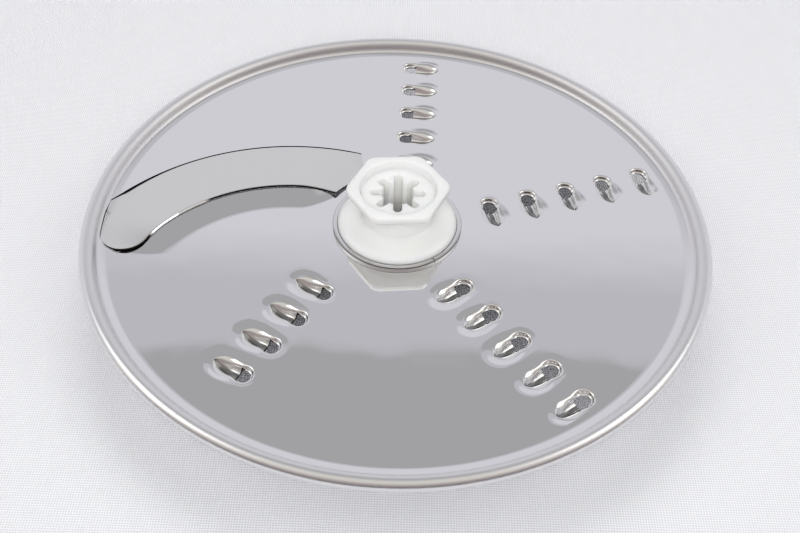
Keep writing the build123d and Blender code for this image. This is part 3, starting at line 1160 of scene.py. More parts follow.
        # The front face stands upright, leans forward as a bright facet towards the round end and
        # turns down into a skirt there; the front beside the facet, the face below it, the back edge
        # and the skirt are painted dark as the shade in the gaps round the blade
        lean = plateau(bearing, (p.facet_start, m.end_bearing), p.facet_runs)
        foot = on_circle(p.centre, near - p.facet * lean, bearing)
        land = lift(foot, upper[:, 0, 2] - p.land * (1.0 - lean) - p.facet * lean)
        first_bright, last_bright = (lean > 0.5).nonzero()[0][[0, -1]]
        front = np.stack([upper[:, 0], land])
        skin.finish = FinishAndShade.SHADED_EDGE
        skin.grid(front[:, : first_bright + 1], flip=True)
        skin.grid(front[:, last_bright:], flip=True)
        skin.grid(np.stack([land, lower[:, 0]]), flip=True)
        skin.grid(np.stack([upper[:, -1], lower[:, -1]]))
        end = bearing > m.end_bearing - p.skirt_lead
        down = smoothstep((bearing[end] - m.end_bearing + p.skirt_lead) / p.skirt_run)
        hem = land[end].copy()
        hem[:, 2] = hem[:, 2] * (1.0 - down) - p.skirt * down
        skin.grid(np.stack([land[end], hem]), flip=True)
        skin.finish = FinishAndShade.MIRROR
        skin.grid(front[:, first_bright : last_bright + 1], flip=True)

    def add_ramp(self, skin: Skin) -> tuple[Array, Array]:
        """Add the ramp that lifts the plate towards the blade's mouth by a power of the way there.

        Args:
            skin: mesh under way.

        Returns:
            Bearings about the blade's centre and the ramp's outer distances there.
        """
        p, t = self.plan, self.sheet.thickness
        bearing = np.linspace(p.marks(True).hub_corner, p.ramp_last, RAMP_STATIONS)
        near, _ = p.limits(bearing, True)
        share, wide = p.ramp_shares(bearing)
        width = p.ramp_least + p.ramp_width * np.sqrt(wide)
        flat = [-p.ramp_hem, -p.ramp_hem / 2]
        rise = np.concatenate([flat, np.linspace(0.0, 1.0, RAMP_COLUMNS)])[None, :]
        hem = near[:, None] - width[:, None] + rise
        slope = near[:, None] - width[:, None] * (1.0 - rise)
        height = p.ramp_height * share[:, None] * np.maximum(rise, 0.0) ** p.ramp_power
        plan = on_circle(p.centre, np.where(rise < 0.0, hem, slope), bearing[:, None])
        skin.grid(lift(plan, height), Side.UP)
        skin.grid(lift(plan, height - t), Side.DOWN)
        lip = plan[:, -1]
        # The lip is painted dark, for the shade in the gap under the blade's edge
        skin.finish = FinishAndShade.SHADED_EDGE
        skin.grid(np.stack([lift(lip, height[:, -1]), lift(lip, height[:, -1] - t)]), flip=True)
        skin.finish = FinishAndShade.MIRROR
        return bearing, near - width - p.ramp_hem

    def opening_sides(self) -> tuple[Array, Array, Array]:
        """Both sides of the blade's opening, at bearings that crowd at its ends.

        Returns:
            Bearings about the blade's centre, and the near and far distances there.
        """
        first, last = self.plan.span(True)
        share = np.linspace(0.0, 1.0, OPENING_STATIONS)
        bearing = first + (last - first) * (0.5 - 0.5 * np.cos(np.pi * share))
        return (bearing, *self.plan.limits(bearing, True))

    def opening_loop(self, ramp_bearing: Array, ramp_outer: Array) -> Array:
        """Outline of the plate's opening for the blade and ramp.

        Args:
            ramp_bearing: bearings of the ramp.
            ramp_outer: the ramp's outer distances.

        Returns:
            Closed loop in plan.
        """
        bearing, near, far = self.opening_sides()
        before, after = bearing < ramp_bearing[0], bearing > ramp_bearing[-1]
        turn = np.concatenate([bearing[before], ramp_bearing, bearing[after], bearing[::-1]])
        reach = np.concatenate([near[before], ramp_outer, near[after], far[::-1]])
        return on_circle(self.plan.centre, reach, turn)

    def add_opening_walls(self, skin: Skin) -> None:
        """Add the cut edges of the sheet round the blade's opening, painted dark as the shade in its
        gaps.

        Args:
            skin: mesh under way.
        """
        p, a, t = self.plan, self.plan.anchors(), self.sheet.thickness
        bearing, near, far = self.opening_sides()
        slit, hook, tab = (bearing_of(p.centre, point) for point in (a.slit, a.hook, a.tab))
        behind = (bearing >= slit) & (bearing <= hook)
        beside = bearing >= tab
        ends = (bearing <= p.marks(True).hub_corner) | (bearing >= p.ramp_last)
        skin.finish = FinishAndShade.SHADED_EDGE
        for reach, part, flip in ((far, behind, False), (far, beside, False), (near, ends, True)):
            edge = on_circle(p.centre, reach[part], bearing[part])
            top = self.sheet.top(np.linalg.norm(edge, axis=-1))
            skin.grid(np.stack([lift(edge, top), lift(edge, top - t)]), flip=flip)
        skin.finish = FinishAndShade.MIRROR

    def add_plate(self, skin: Skin, opening: Array, scoops: list[Array]) -> None:
        """Add the flat of the plate: triangles between all outlines, on both faces.

        Args:
            skin: mesh under way.
            opening: outline of the blade's opening.
            scoops: outlines of the scoops.
        """
        s = self.sheet
        outer = on_circle(ORIGIN, s.flat_radius, self.rim_bearings())
        inner = on_circle(ORIGIN, s.hole_radius, np.arange(0.0, 360.0, self.column_step))
        loops = [outer, inner, opening, *scoops]
        edges = []
        start = 0
        for loop in loops:
            index = np.arange(len(loop))
            pairs = np.stack([index, np.roll(index, -1)], -1) + start
            edges.extend(map(tuple, pairs.tolist()))
            start += len(loop)
        corners = [Vector(p) for p in np.concatenate(loops).tolist()]
        flat, _, faces, *_ = delaunay_2d_cdt(corners, edges, [], 0, PLAN_TOLERANCE)
        plan = np.array([tuple(v) for v in flat])
        triangles = np.array(faces)
        middle = plan[triangles].mean(axis=1)
        solid = inside(middle, outer)
        for hole in loops[1:]:
            solid &= ~inside(middle, hole)
        skin.faces(lift(plan, 0.0), triangles[solid], Side.UP)
        skin.faces(lift(plan, -s.thickness), triangles[solid], Side.DOWN)
        skin.grid(np.stack([lift(inner, 0.0), lift(inner, -s.thickness)]), around=True)

    def build(self, rise: float) -> bpy.types.Object:
        """Make the disc.

        Args:
            rise: height of the plate's upper face in the frame, in millimetres.

        Returns:
            New object.
        """
        skin = Skin("pressed_disc")
        self.add_rim(skin)
        outlines = self.add_scoops(skin)
        self.add_blade(skin)
        opening = self.opening_loop(*self.add_ramp(skin))
        self.add_opening_walls(skin)
        self.add_plate(skin, opening, outlines)
        return skin.build(rise, merge=0.004, sharp=32.0)

    def dress(self, rise: float) -> None:
        """Make the disc at a height, polish it and put it in its solid's place."""
        settle(self.build(rise), "disc", PolishedSteel().build())


@dataclass
class MouldedHub:
    """The white hub: bell foot, neck and hexagonal grip rim, alike above and below the plate.

    Sizes are in millimetres and degrees, heights above the plate's upper face.
    """

    height: float
    thickness: float
    foot_radius: float = 16.9
    foot_edge: float = 1.0
    foot_height: float = 5.0
    bell_neck: float = 1.9
    bell_foot: float = 2.9
    bell_rows: int = 19
    neck_radius: float = 10.0
    neck_height: float = 9.5
    neck_inset: float = 0.5
    neck_step: float = 0.02
    neck_rows: int = 9
    grip_base: float = 12.2
    grip_apothem: float = 12.8
    grip_corner: float = 3.5
    grip_turn: float = 5.0
    soften: float = 0.7
    soft_rows: int = 7
    low_soften: float = 0.45
    low_rows: int = 5
    dish_radius: float = 10.6
    dish_depth: float = 2.4
    dish_floor: float = 10.18
    dish_fillet: float = 0.4
    floor_shares: tuple[float, ...] = (0.35, 0.7, 0.97)
    socket_radius: float = 4.6
    socket_reach: float = 7.6
    socket_notch: float = 2.4
    socket_soften: float = 0.25
    socket_step: float = 0.07
    notches: int = 8
    end_columns: int = 9
    flank_columns: int = 5
    crest_columns: int = 6
    groove_radius: float = 16.4
    groove_height: float = 0.9
    clamp_radius: float = 19.0
    clamp_thickness: float = 1.2

    @property
    def notch_pitch(self) -> float:
        """Angle in degrees from one notch of the socket to the next."""
        return 360.0 / self.notches

    def notch_turns(self) -> tuple[float, float]:
        """Half angles of a notch, seen from the axis.

        Returns:
            Degrees from the notch's middle to the side of its round end, and to that of its mouth.
        """
        half = self.socket_notch / 2
        end = math.degrees(math.atan(half / (self.socket_reach - half)))
        return end, math.degrees(math.asin(half / self.socket_radius))

    def bearings(self) -> Array:
        """Bearings that follow the socket's notches.

        Returns:
            Bearings in degrees.
        """
        end, mouth = self.notch_turns()
        tip = np.linspace(0.0, end, self.end_columns)[:-1]
        flank = np.linspace(end, mouth, self.flank_columns)
        crest = np.linspace(mouth, self.notch_pitch / 2, self.crest_columns)[1:]
        side = np.concatenate([tip, flank, crest])
        one = np.concatenate([-side[:0:-1], side[:-1]])
        return np.concatenate([self.notch_pitch * k + one for k in range(self.notches)])

    def socket(self, bearing: Array) -> Array:
        """Radius of the notched socket: a notch's round end, its straight flanks, then the crest.

        Args:
            bearing: bearings in degrees.

        Returns:
            Radii.
        """
        pitch = self.notch_pitch
        turn = np.abs((bearing + pitch / 2) % pitch - pitch / 2)
        end_turn, mouth_turn = self.notch_turns()
        half = self.socket_notch / 2
        centre = self.socket_reach - half
        sine, cosine = np.sin(np.radians(turn)), np.cos(np.radians(turn))
        end = centre * cosine + np.sqrt(np.maximum(half**2 - (centre * sine) ** 2, 0.0))
        outside = np.where(turn <= mouth_turn, half / np.maximum(sine, TINY), self.socket_radius)
        return np.where(turn <= end_turn, end, outside)

    def hexagon(self, bearing: Array, inset: float) -> Array:
        """Radius of the rounded hexagon: a corner's arc, then half of a flat, twelve times.

        Args:
            bearing: bearings in degrees.
            inset: distance inside the full outline.

        Returns:
            Radii.
        """
        half_side = 30.0
        turn = np.abs((bearing - self.grip_turn + half_side) % (2 * half_side) - half_side)
        apothem, corner = self.grip_apothem - inset, self.grip_corner - inset
        lean = math.radians(half_side)
        centre = (apothem - corner) / math.cos(lean)
        flat = apothem / np.cos(np.radians(half_side - turn))
        sine, cosine = np.sin(np.radians(turn)), np.cos(np.radians(turn))
        rounded = centre * cosine + np.sqrt(np.maximum(corner**2 - (centre * sine) ** 2, 0.0))
        reach = math.atan2(corner * math.sin(lean), centre + corner * math.cos(lean))
        return np.where(turn < math.degrees(reach), rounded, flat)

    def half(self, bearing: Array) -> list[tuple[Array, float]]:
        """Upper half of the hub, from the socket's rim outwards and down to the foot.

        The edges are quarter circles and the bell of the foot is a cubic curve of four points.

        Args:
            bearing: bearings in degrees.

        Returns:
            Radii and height of each ring.
        """
        one = np.ones_like(bearing)
        top, floor = self.height, self.height - self.dish_depth
        socket = self.socket(bearing)
        lip = socket + self.socket_soften
        flat = self.dish_floor - self.dish_fillet
        neck_start = self.grip_apothem - self.neck_inset

        def quarter(radius: float, rows: int) -> list[tuple[float, float]]:
            """Quarter circle as distances from its two tangents, the first growing."""
            turn = np.linspace(0.0, math.pi / 2, rows)
            return list(zip(radius * (1.0 - np.cos(turn)), radius * (1.0 - np.sin(turn))))

        rings = [
            (socket, floor - self.socket_soften),
            (socket + self.socket_step, floor - self.socket_step),
            (lip, floor),
        ]
        for share in self.floor_shares:
            rings.append((lip * (1 - share) + flat * share, floor))
        for rise, inset in quarter(self.dish_fillet, self.low_rows):
            rings.append((one * (self.dish_floor - inset), floor + rise))
        for inset, drop in quarter(self.soften, self.soft_rows):
            rings.append((one * (self.dish_radius + inset), top - drop))
        for drop, inset in quarter(self.soften, self.soft_rows):
            rings.append((self.hexagon(bearing, inset), top - drop))
        for inset, rise in quarter(self.low_soften, self.low_rows):
            rings.append((self.hexagon(bearing, inset), self.grip_base + rise))
        rings.append((one * neck_start, self.grip_base - self.neck_step))
        for turn in np.linspace(0.0, math.pi / 2, self.neck_rows)[1:]:
            radius = neck_start - (neck_start - self.neck_radius) * math.sin(turn)
            drop = (self.grip_base - self.neck_height) * math.cos(turn)
            rings.append((one * radius, self.neck_height + drop))
        rings.append((one * self.neck_radius, (self.neck_height + self.foot_height) / 2))
        control = np.array(
            [
                [self.neck_radius, self.foot_height],
                [self.neck_radius, self.foot_height - self.bell_neck],
                [self.foot_radius, self.foot_edge + self.bell_foot],
                [self.foot_radius, self.foot_edge],
            ]
        )
        t = np.linspace(0.0, 1.0, self.bell_rows)
        weight = np.stack([(1 - t) ** 3, 3 * t * (1 - t) ** 2, 3 * t**2 * (1 - t), t**3], -1)
        for radius, height in weight @ control:
            rings.append((one * radius, float(height)))
        return rings

    def build(self, rise: float) -> bpy.types.Object:
        """Make the hub: rings of the upper half, the groove and clamp, and the lower half.

        Args:
            rise: height of the plate's upper face in the frame, in millimetres.

        Returns:
            New object.
        """
        bearing = self.bearings()
        one = np.ones_like(bearing)
        upper = self.half(bearing)
        below = [(radius, -self.thickness - height) for radius, height in reversed(upper)]
        clamp_low = -self.thickness - self.clamp_thickness
        corners = (
            (self.foot_radius, self.groove_height),
            (self.groove_radius, self.groove_height),
            (self.groove_radius, 0.0),
            (self.foot_radius, 0.0),
            (self.foot_radius, -self.thickness),
            (self.clamp_radius, -self.thickness),
            (self.clamp_radius, clamp_low),
            (self.foot_radius, clamp_low),
        )
        middle = [(one * radius, height) for radius, height in corners]
        rings = upper + middle + below + upper[:1]
        grid = [lift(on_circle(ORIGIN, radius, bearing), height) for radius, height in rings]
        skin = Skin("moulded_hub")
        skin.grid(np.stack(grid), around=True)
        return skin.build(rise, merge=0.001, sharp=38.0)

    def dress(self, rise: float) -> None:
        """Make the hub at a height, give it its plastic and put it in its solid's place."""
        settle(self.build(rise), "hub", WhitePlastic().build())


@dataclass
class SplitRing:
    """The flat spring ring round the hub's foot, in millimetres and degrees."""

    inner: float = 16.4
    outer: float = 18.25
    thickness: float = 0.9
    soften: float = 0.12
    # Widths of painted shade on the land: a strip from the inner edge, partly under the foot, and a
    # line at the outer edge
    seat: float = 0.62
    line: float = 0.1
    split: float = 0.4
    split_bearing: float = -54.0

    def build(self, rise: float) -> bpy.types.Object:
        """Make the ring: its section carried round the axis, closed at both sides of the split.

        Args:
            rise: height of the plate's upper face in the frame, in millimetres.

        Returns:
            New object.
        """
        gap = math.degrees(self.split / self.outer) / 2
        bearing = np.linspace(self.split_bearing + gap, self.split_bearing + 360.0 - gap, RING_COLUMNS)
        top, soft = self.thickness, self.soften
        inside_land, outside_land = self.inner + self.seat, self.outer - self.line
        # Section as radius, height and the finish of the face that follows; the inner wall and corner,
        # the strip beside the foot and the line at the outer edge are painted dark as shade lines
        section = (
            (self.inner, 0.0, FinishAndShade.SHADED_EDGE),
            (self.inner, top - soft, FinishAndShade.SHADED_EDGE),
            (self.inner + soft, top, FinishAndShade.SHADED_EDGE),
            (inside_land, top, FinishAndShade.MIRROR),
            ((inside_land + outside_land) / 2, top, FinishAndShade.MIRROR),
            (outside_land, top, FinishAndShade.SHADED_EDGE),
            (self.outer - soft / 3, top - soft / 3, FinishAndShade.SHADED_EDGE),
            (self.outer, top - soft, FinishAndShade.SHADED_EDGE),
            (self.outer, top - 2 * soft, FinishAndShade.SATIN),
            (self.outer, 0.0, FinishAndShade.MIRROR),
            (self.inner, 0.0, FinishAndShade.MIRROR),
        )
        radius = np.array([corner[0] for corner in section])
        height = np.array([corner[1] for corner in section])
        plan = on_circle(ORIGIN, radius[:, None], bearing[None, :])
        grid = lift(plan, height[:, None] * np.ones_like(bearing))
        skin = Skin("split_ring")
        for row, (_, _, finish) in enumerate(section[:-1]):
            skin.finish = finish
            skin.grid(grid[row : row + 2])
        skin.finish = FinishAndShade.MIRROR
        for column in (0, -1):
            end = grid[:-1, column]
            skin.faces(end, np.arange(len(end))[None, :: 1 if column else -1])
        return skin.build(rise, merge=0.001, sharp=35.0)

    def dress(self, rise: float) -> None:
        """Make the ring at a height, brighten it and put it in its solid's place."""
        settle(self.build(rise), "retaining_ring", SpringSteel().build())


@dataclass
class Nodes:
    """A node tree that nodes are added to."""

    tree: bpy.types.NodeTree

    def wire(self, socket: bpy.types.NodeSocket, value: object) -> None:
        """Link a socket to an output, or set it to a constant.

        Args:
            socket: input of a node.
            value: output socket or constant.
        """
        if isinstance(value, bpy.types.NodeSocket):
            self.tree.links.new(value, socket)
        else:
            socket.default_value = value

    def add(
        self, kind: str, numbered: dict[int, object] | None = None, **values: object
    ) -> bpy.types.Node:
        """Add a node with its settings and links.

        Args:
            kind: Blender's node type.
            numbered: constants or links by socket number, where sockets share a name.
            values: constants or links by socket name, with _ for spaces; attributes of the node
                itself where it has no such socket.

        Returns:
            The new node.
        """
        node = self.tree.nodes.new(kind)
        for key, value in values.items():
            name = key.replace("_", " ").lower()
            socket = next((s for s in node.inputs if s.name.lower() == name), None)
            if socket is None:
                setattr(node, key, value)
            else:
                self.wire(socket, value)
        for number, value in (numbered or {}).items():
            self.wire(node.inputs[number], value)
        return node


def new_material(name: str) -> tuple[bpy.types.Material, Nodes]:
    """Make a material with an empty node tree.

    Args:
        name: name of the real material.

    Returns:
        The material and its nodes.
    """
    material = bpy.data.materials.new(name)
    material.use_nodes = True
    material.node_tree.nodes.clear()
    return material, Nodes(material.node_tree)


# Rolled sheet, pressed and then buffed: the plate is a mirror with a slight haze and slow waves,
# the blade a satin that scatters a little warmer light, the rolled rim dull, and the cut edges and
# the scoops' valleys painted dark as the shade in gaps and hollows
@dataclass(frozen=True)
class PolishedSteel:
    """Polished stainless sheet: mirror-bright plate and scoops, satin blade, dull rolled rim.

    Lengths and radii are in millimetres.
    """

    name: str = "polished_stainless_steel"
    colour: str = "#E6E5E6"
    satin_colour: str = "#E1E0DE"
    # painted shade: the dark tone that cut edges and scoop valleys take for the shade in gaps, under
    # edges and in hollows
    cut_shade_colour: str = "#3C3A3A"
    roughness: float = 0.03
    haze: float = 0.02
    haze_size: float = 9.0
    haze_range: tuple[float, float] = (0.3, 0.7)
    satin_roughness: float = 0.24
    flank_roughness: float = 0.5
    bead_roughness: float = 0.3
    flank_radius: float = 82.8
    bead_radius: float = 85.4
    rim_blend: float = 0.5
    wave_length: float = 30.0
    wave_depth: float = 0.4
    wave_strength: float = 0.25

    def build(self) -> bpy.types.Material:
        """Make the material.

        Returns:
            New material.
        """
        material, nodes = new_material(self.name)
        place = nodes.add("ShaderNodeTexCoord").outputs["Object"]
        finish = nodes.add("ShaderNodeAttribute", attribute_name=FINISH_AND_SHADE).outputs["Fac"]
        # The distance from the axis tells the dull flank inside the rim and the smoother bead
        flat = nodes.add(
            "ShaderNodeVectorMath", {0: place, 1: (1.0, 1.0, 0.0)}, operation="MULTIPLY"
        )
        radius = nodes.add(
            "ShaderNodeVectorMath", {0: flat.outputs["Vector"]}, operation="LENGTH"
        ).outputs["Value"]
        flank = nodes.add(
            "ShaderNodeMapRange",
            Value=radius,
            From_Min=(self.flank_radius - self.rim_blend) * MM,
            From_Max=(self.flank_radius + self.rim_blend) * MM,
            To_Max=self.flank_roughness,
        )
        bead = nodes.add(
            "ShaderNodeMapRange",
            Value=radius,
            From_Min=(self.bead_radius - self.rim_blend) * MM,
            From_Max=(self.bead_radius + self.rim_blend) * MM,
            To_Min=self.flank_roughness,
            To_Max=self.bead_roughness,
        )
        rolled = nodes.add(
            "ShaderNodeMath",
            {0: flank.outputs["Result"], 1: bead.outputs["Result"]},
            operation="MINIMUM",
        )
        # Each face's own finish tells the satin blade and, past satin, the cut edges and scoop valleys
        # that are painted dark as shade
        satin = nodes.add("ShaderNodeMapRange", Value=finish, From_Max=FinishAndShade.SATIN.value)
        cut = nodes.add("ShaderNodeMapRange", Value=finish, From_Min=FinishAndShade.SATIN.value)
        satin_rough = nodes.add(
            "ShaderNodeMapRange", Value=satin.outputs["Result"], To_Max=self.satin_roughness
        )
        # Cloudy buffing haze; the roughest of all these shows
        clouds = nodes.add(
            "ShaderNodeTexNoise", Vector=place, Scale=1 / (self.haze_size * MM), Detail=4.0
        )
        hazy = nodes.add(
            "ShaderNodeMapRange",
            Value=clouds.outputs["Fac"],
            From_Min=self.haze_range[0],
            From_Max=self.haze_range[1],
            To_Min=self.roughness - self.haze / 2,
            To_Max=self.roughness + self.haze / 2,
        )
        dull = nodes.add(
            "ShaderNodeMath",
            {0: rolled.outputs["Value"], 1: satin_rough.outputs["Result"]},
            operation="MAXIMUM",
        )
        rough = nodes.add(
            "ShaderNodeMath",
            {0: dull.outputs["Value"], 1: hazy.outputs["Result"]},
            operation="MAXIMUM",
        )
        warm = nodes.add(
            "ShaderNodeMix",
            {0: satin.outputs["Result"], 6: linear(self.colour), 7: linear(self.satin_colour)},
            data_type="RGBA",
        )
        tone = nodes.add(
            "ShaderNodeMix",
            {0: cut.outputs["Result"], 6: warm.outputs[2], 7: linear(self.cut_shade_colour)},
            data_type="RGBA",
        )
        # Slow waves of rolled sheet
        waves = nodes.add(
            "ShaderNodeTexNoise", Vector=place, Scale=1 / (self.wave_length * MM), Detail=2.0
        )
        bump = nodes.add(
            "ShaderNodeBump",
            Height=waves.outputs["Fac"],
            Strength=self.wave_strength,
            Distance=self.wave_depth * MM,
        )
        shader = nodes.add(
            "ShaderNodeBsdfPrincipled",
            Base_Color=tone.outputs[2],
            Roughness=rough.outputs["Value"],
            Metallic=1.0,
            Normal=bump.outputs["Normal"],
        )
        nodes.add("ShaderNodeOutputMaterial", Surface=shader.outputs["BSDF"])
        return material


# Injection moulded: a glossy skin with a fine grain, drawn coarser than a real one so that it
# shows, over a white body that light wanders into, which softens its shading
@dataclass(frozen=True)
class WhitePlastic:
    """Glossy white moulded plastic, slightly warm, with lengths in millimetres."""

    name: str = "white_moulded_plastic"
    colour: str = "#EFEFED"
    roughness: float = 0.12
    grain_size: float = 0.6
    grain_depth: float = 0.02
    grain_strength: float = 0.08
    light_depth: float = 5.0
    light_share: float = 0.8
    light_spread: tuple[float, float, float] = (1.0, 0.95, 0.85)
    ior: float = 1.49

    def build(self) -> bpy.types.Material:
        """Make the material.

        Returns:
            New material.
        """
        material, nodes = new_material(self.name)
        place = nodes.add("ShaderNodeTexCoord").outputs["Object"]
        grain = nodes.add(
            "ShaderNodeTexNoise", Vector=place, Scale=1 / (self.grain_size * MM), Detail=3.0
        )
        bump = nodes.add(
            "ShaderNodeBump",
            Height=grain.outputs["Fac"],
            Strength=self.grain_strength,
            Distance=self.grain_depth * MM,
        )
        shader = nodes.add(
            "ShaderNodeBsdfPrincipled",
            Base_Color=linear(self.colour),
            Roughness=self.roughness,
            IOR=self.ior,
            Subsurface_Weight=self.light_share,
            Subsurface_Radius=self.light_spread,
            Subsurface_Scale=self.light_depth * MM,
            Normal=bump.outputs["Normal"],
        )
        nodes.add("ShaderNodeOutputMaterial", Surface=shader.outputs["BSDF"])
        return material


# Drawn wire, rolled flat and sheared: a bright land, broken up by drawing marks that are coarser
# than real ones so that they show, and outlined by dull edges painted dark as shade lines where
# the ring meets the foot and along its outer edge
@dataclass(frozen=True)
class SpringSteel:
    """Bright spring steel: polished lands and dull drawn sides, with lengths in millimetres."""

    name: str = "bright_spring_steel"
    colour: str = "#DDDCDC"
    # painted shade: dark tone of the shade lines at the foot and round the outer edge
    side_shade_colour: str = "#4A4947"
    roughness: float = 0.09
    side_roughness: float = 0.5
    mark_size: float = 0.3
    mark_range: float = 0.05

    def build(self) -> bpy.types.Material:
        """Make the material.

        Returns:
            New material.
        """
        material, nodes = new_material(self.name)
        place = nodes.add("ShaderNodeTexCoord").outputs["Object"]
        finish = nodes.add("ShaderNodeAttribute", attribute_name=FINISH_AND_SHADE).outputs["Fac"]
        marks = nodes.add(
            "ShaderNodeTexNoise", Vector=place, Scale=1 / (self.mark_size * MM), Detail=2.0
        )
        drawn = nodes.add(
            "ShaderNodeMapRange",
            Value=marks.outputs["Fac"],
            To_Min=self.roughness - self.mark_range,
            To_Max=self.roughness + self.mark_range,
        )
        dull = nodes.add(
            "ShaderNodeMapRange",
            Value=finish,
            From_Max=FinishAndShade.SATIN.value,
            To_Max=self.side_roughness,
        )
        rough = nodes.add(
            "ShaderNodeMath",
            {0: drawn.outputs["Result"], 1: dull.outputs["Result"]},
            operation="MAXIMUM",
        )
        cut = nodes.add("ShaderNodeMapRange", Value=finish, From_Min=FinishAndShade.SATIN.value)
        tone = nodes.add(
            "ShaderNodeMix",
            {0: cut.outputs["Result"], 6: linear(self.colour), 7: linear(self.side_shade_colour)},
            data_type="RGBA",
        )
        shader = nodes.add(
            "ShaderNodeBsdfPrincipled",
            Base_Color=tone.outputs[2],
            Roughness=rough.outputs["Value"],
            Metallic=1.0,
        )
        nodes.add("ShaderNodeOutputMaterial", Surface=shader.outputs["BSDF"])
        return material


# Plain woven cotton: matt, with darker gaps between crossing threads that are uneven as spun yarn
@dataclass(frozen=True)
class PaleCloth:
    """Plain pale cloth under the object, a wave of bands for each way of its threads.

    Lengths are in millimetres, apart from the band, which is the length of one band of
    Blender's wave texture at a scale of 1.
    """

    name: str = "pale_cloth"
    colour: str = "#FDFDFF"
    gap_colour: str = "#DCDCE2"
    roughness: float = 0.9
    thread: float = 0.66
    thread_depth: float = 0.12
    thread_strength: float = 0.5
    unevenness: float = 1.2
    band: float = 0.314

    def build(self) -> bpy.types.Material:
        """Make the material.

        Returns:
            New material.
        """
        material, nodes = new_material(self.name)
        place = nodes.add("ShaderNodeTexCoord").outputs["Object"]
        warp, weft = (
            nodes.add(
                "ShaderNodeTexWave",
                Vector=place,
                Scale=self.band / (self.thread * MM),
                Distortion=self.unevenness,
                Detail=2.0,
                bands_direction=direction,
            ).outputs["Fac"]
            for direction in "XY"
        )
        weave = nodes.add("ShaderNodeMath", {0: warp, 1: weft}, operation="ADD").outputs["Value"]
        level = nodes.add("ShaderNodeMapRange", Value=weave, From_Max=2.0)
        tone = nodes.add(
            "ShaderNodeMix",
            {0: level.outputs["Result"], 6: linear(self.gap_colour), 7: linear(self.colour)},
            data_type="RGBA",
        )
        bump = nodes.add(
            "ShaderNodeBump",
            Height=weave,
            Strength=self.thread_strength,
            Distance=self.thread_depth * MM,
        )
        shader = nodes.add(
            "ShaderNodeBsdfPrincipled",
            Base_Color=tone.outputs[2],
            Roughness=self.roughness,
            Normal=bump.outputs["Normal"],
        )
        nodes.add("ShaderNodeOutputMaterial", Surface=shader.outputs["BSDF"])
        return material


@dataclass(frozen=True)
class SoftBox:
    """A square lamp that looks at the object: place and width in metres, power in watts."""

    name: str
    place: tuple[float, float, float]
    width: float
    power: float
    mirrored: bool = True


# Light from behind throws the soft shadow forwards, light bounced from above the camera fills it;
# the photograph's steel shows no image of either
SOFT_BOXES = (
    SoftBox("left_box", (-1.0, 0.05, 1.0), 0.8, 2.6),
    SoftBox("right_box", (1.0, 0.05, 1.0), 0.8, 2.6),
    SoftBox("back_key", (0.0, 1.0, 1.2), 0.9, 6.5, mirrored=False),
    SoftBox("front_bounce", (0.0, -1.1, 1.05), 0.8, 14.5, mirrored=False),
)


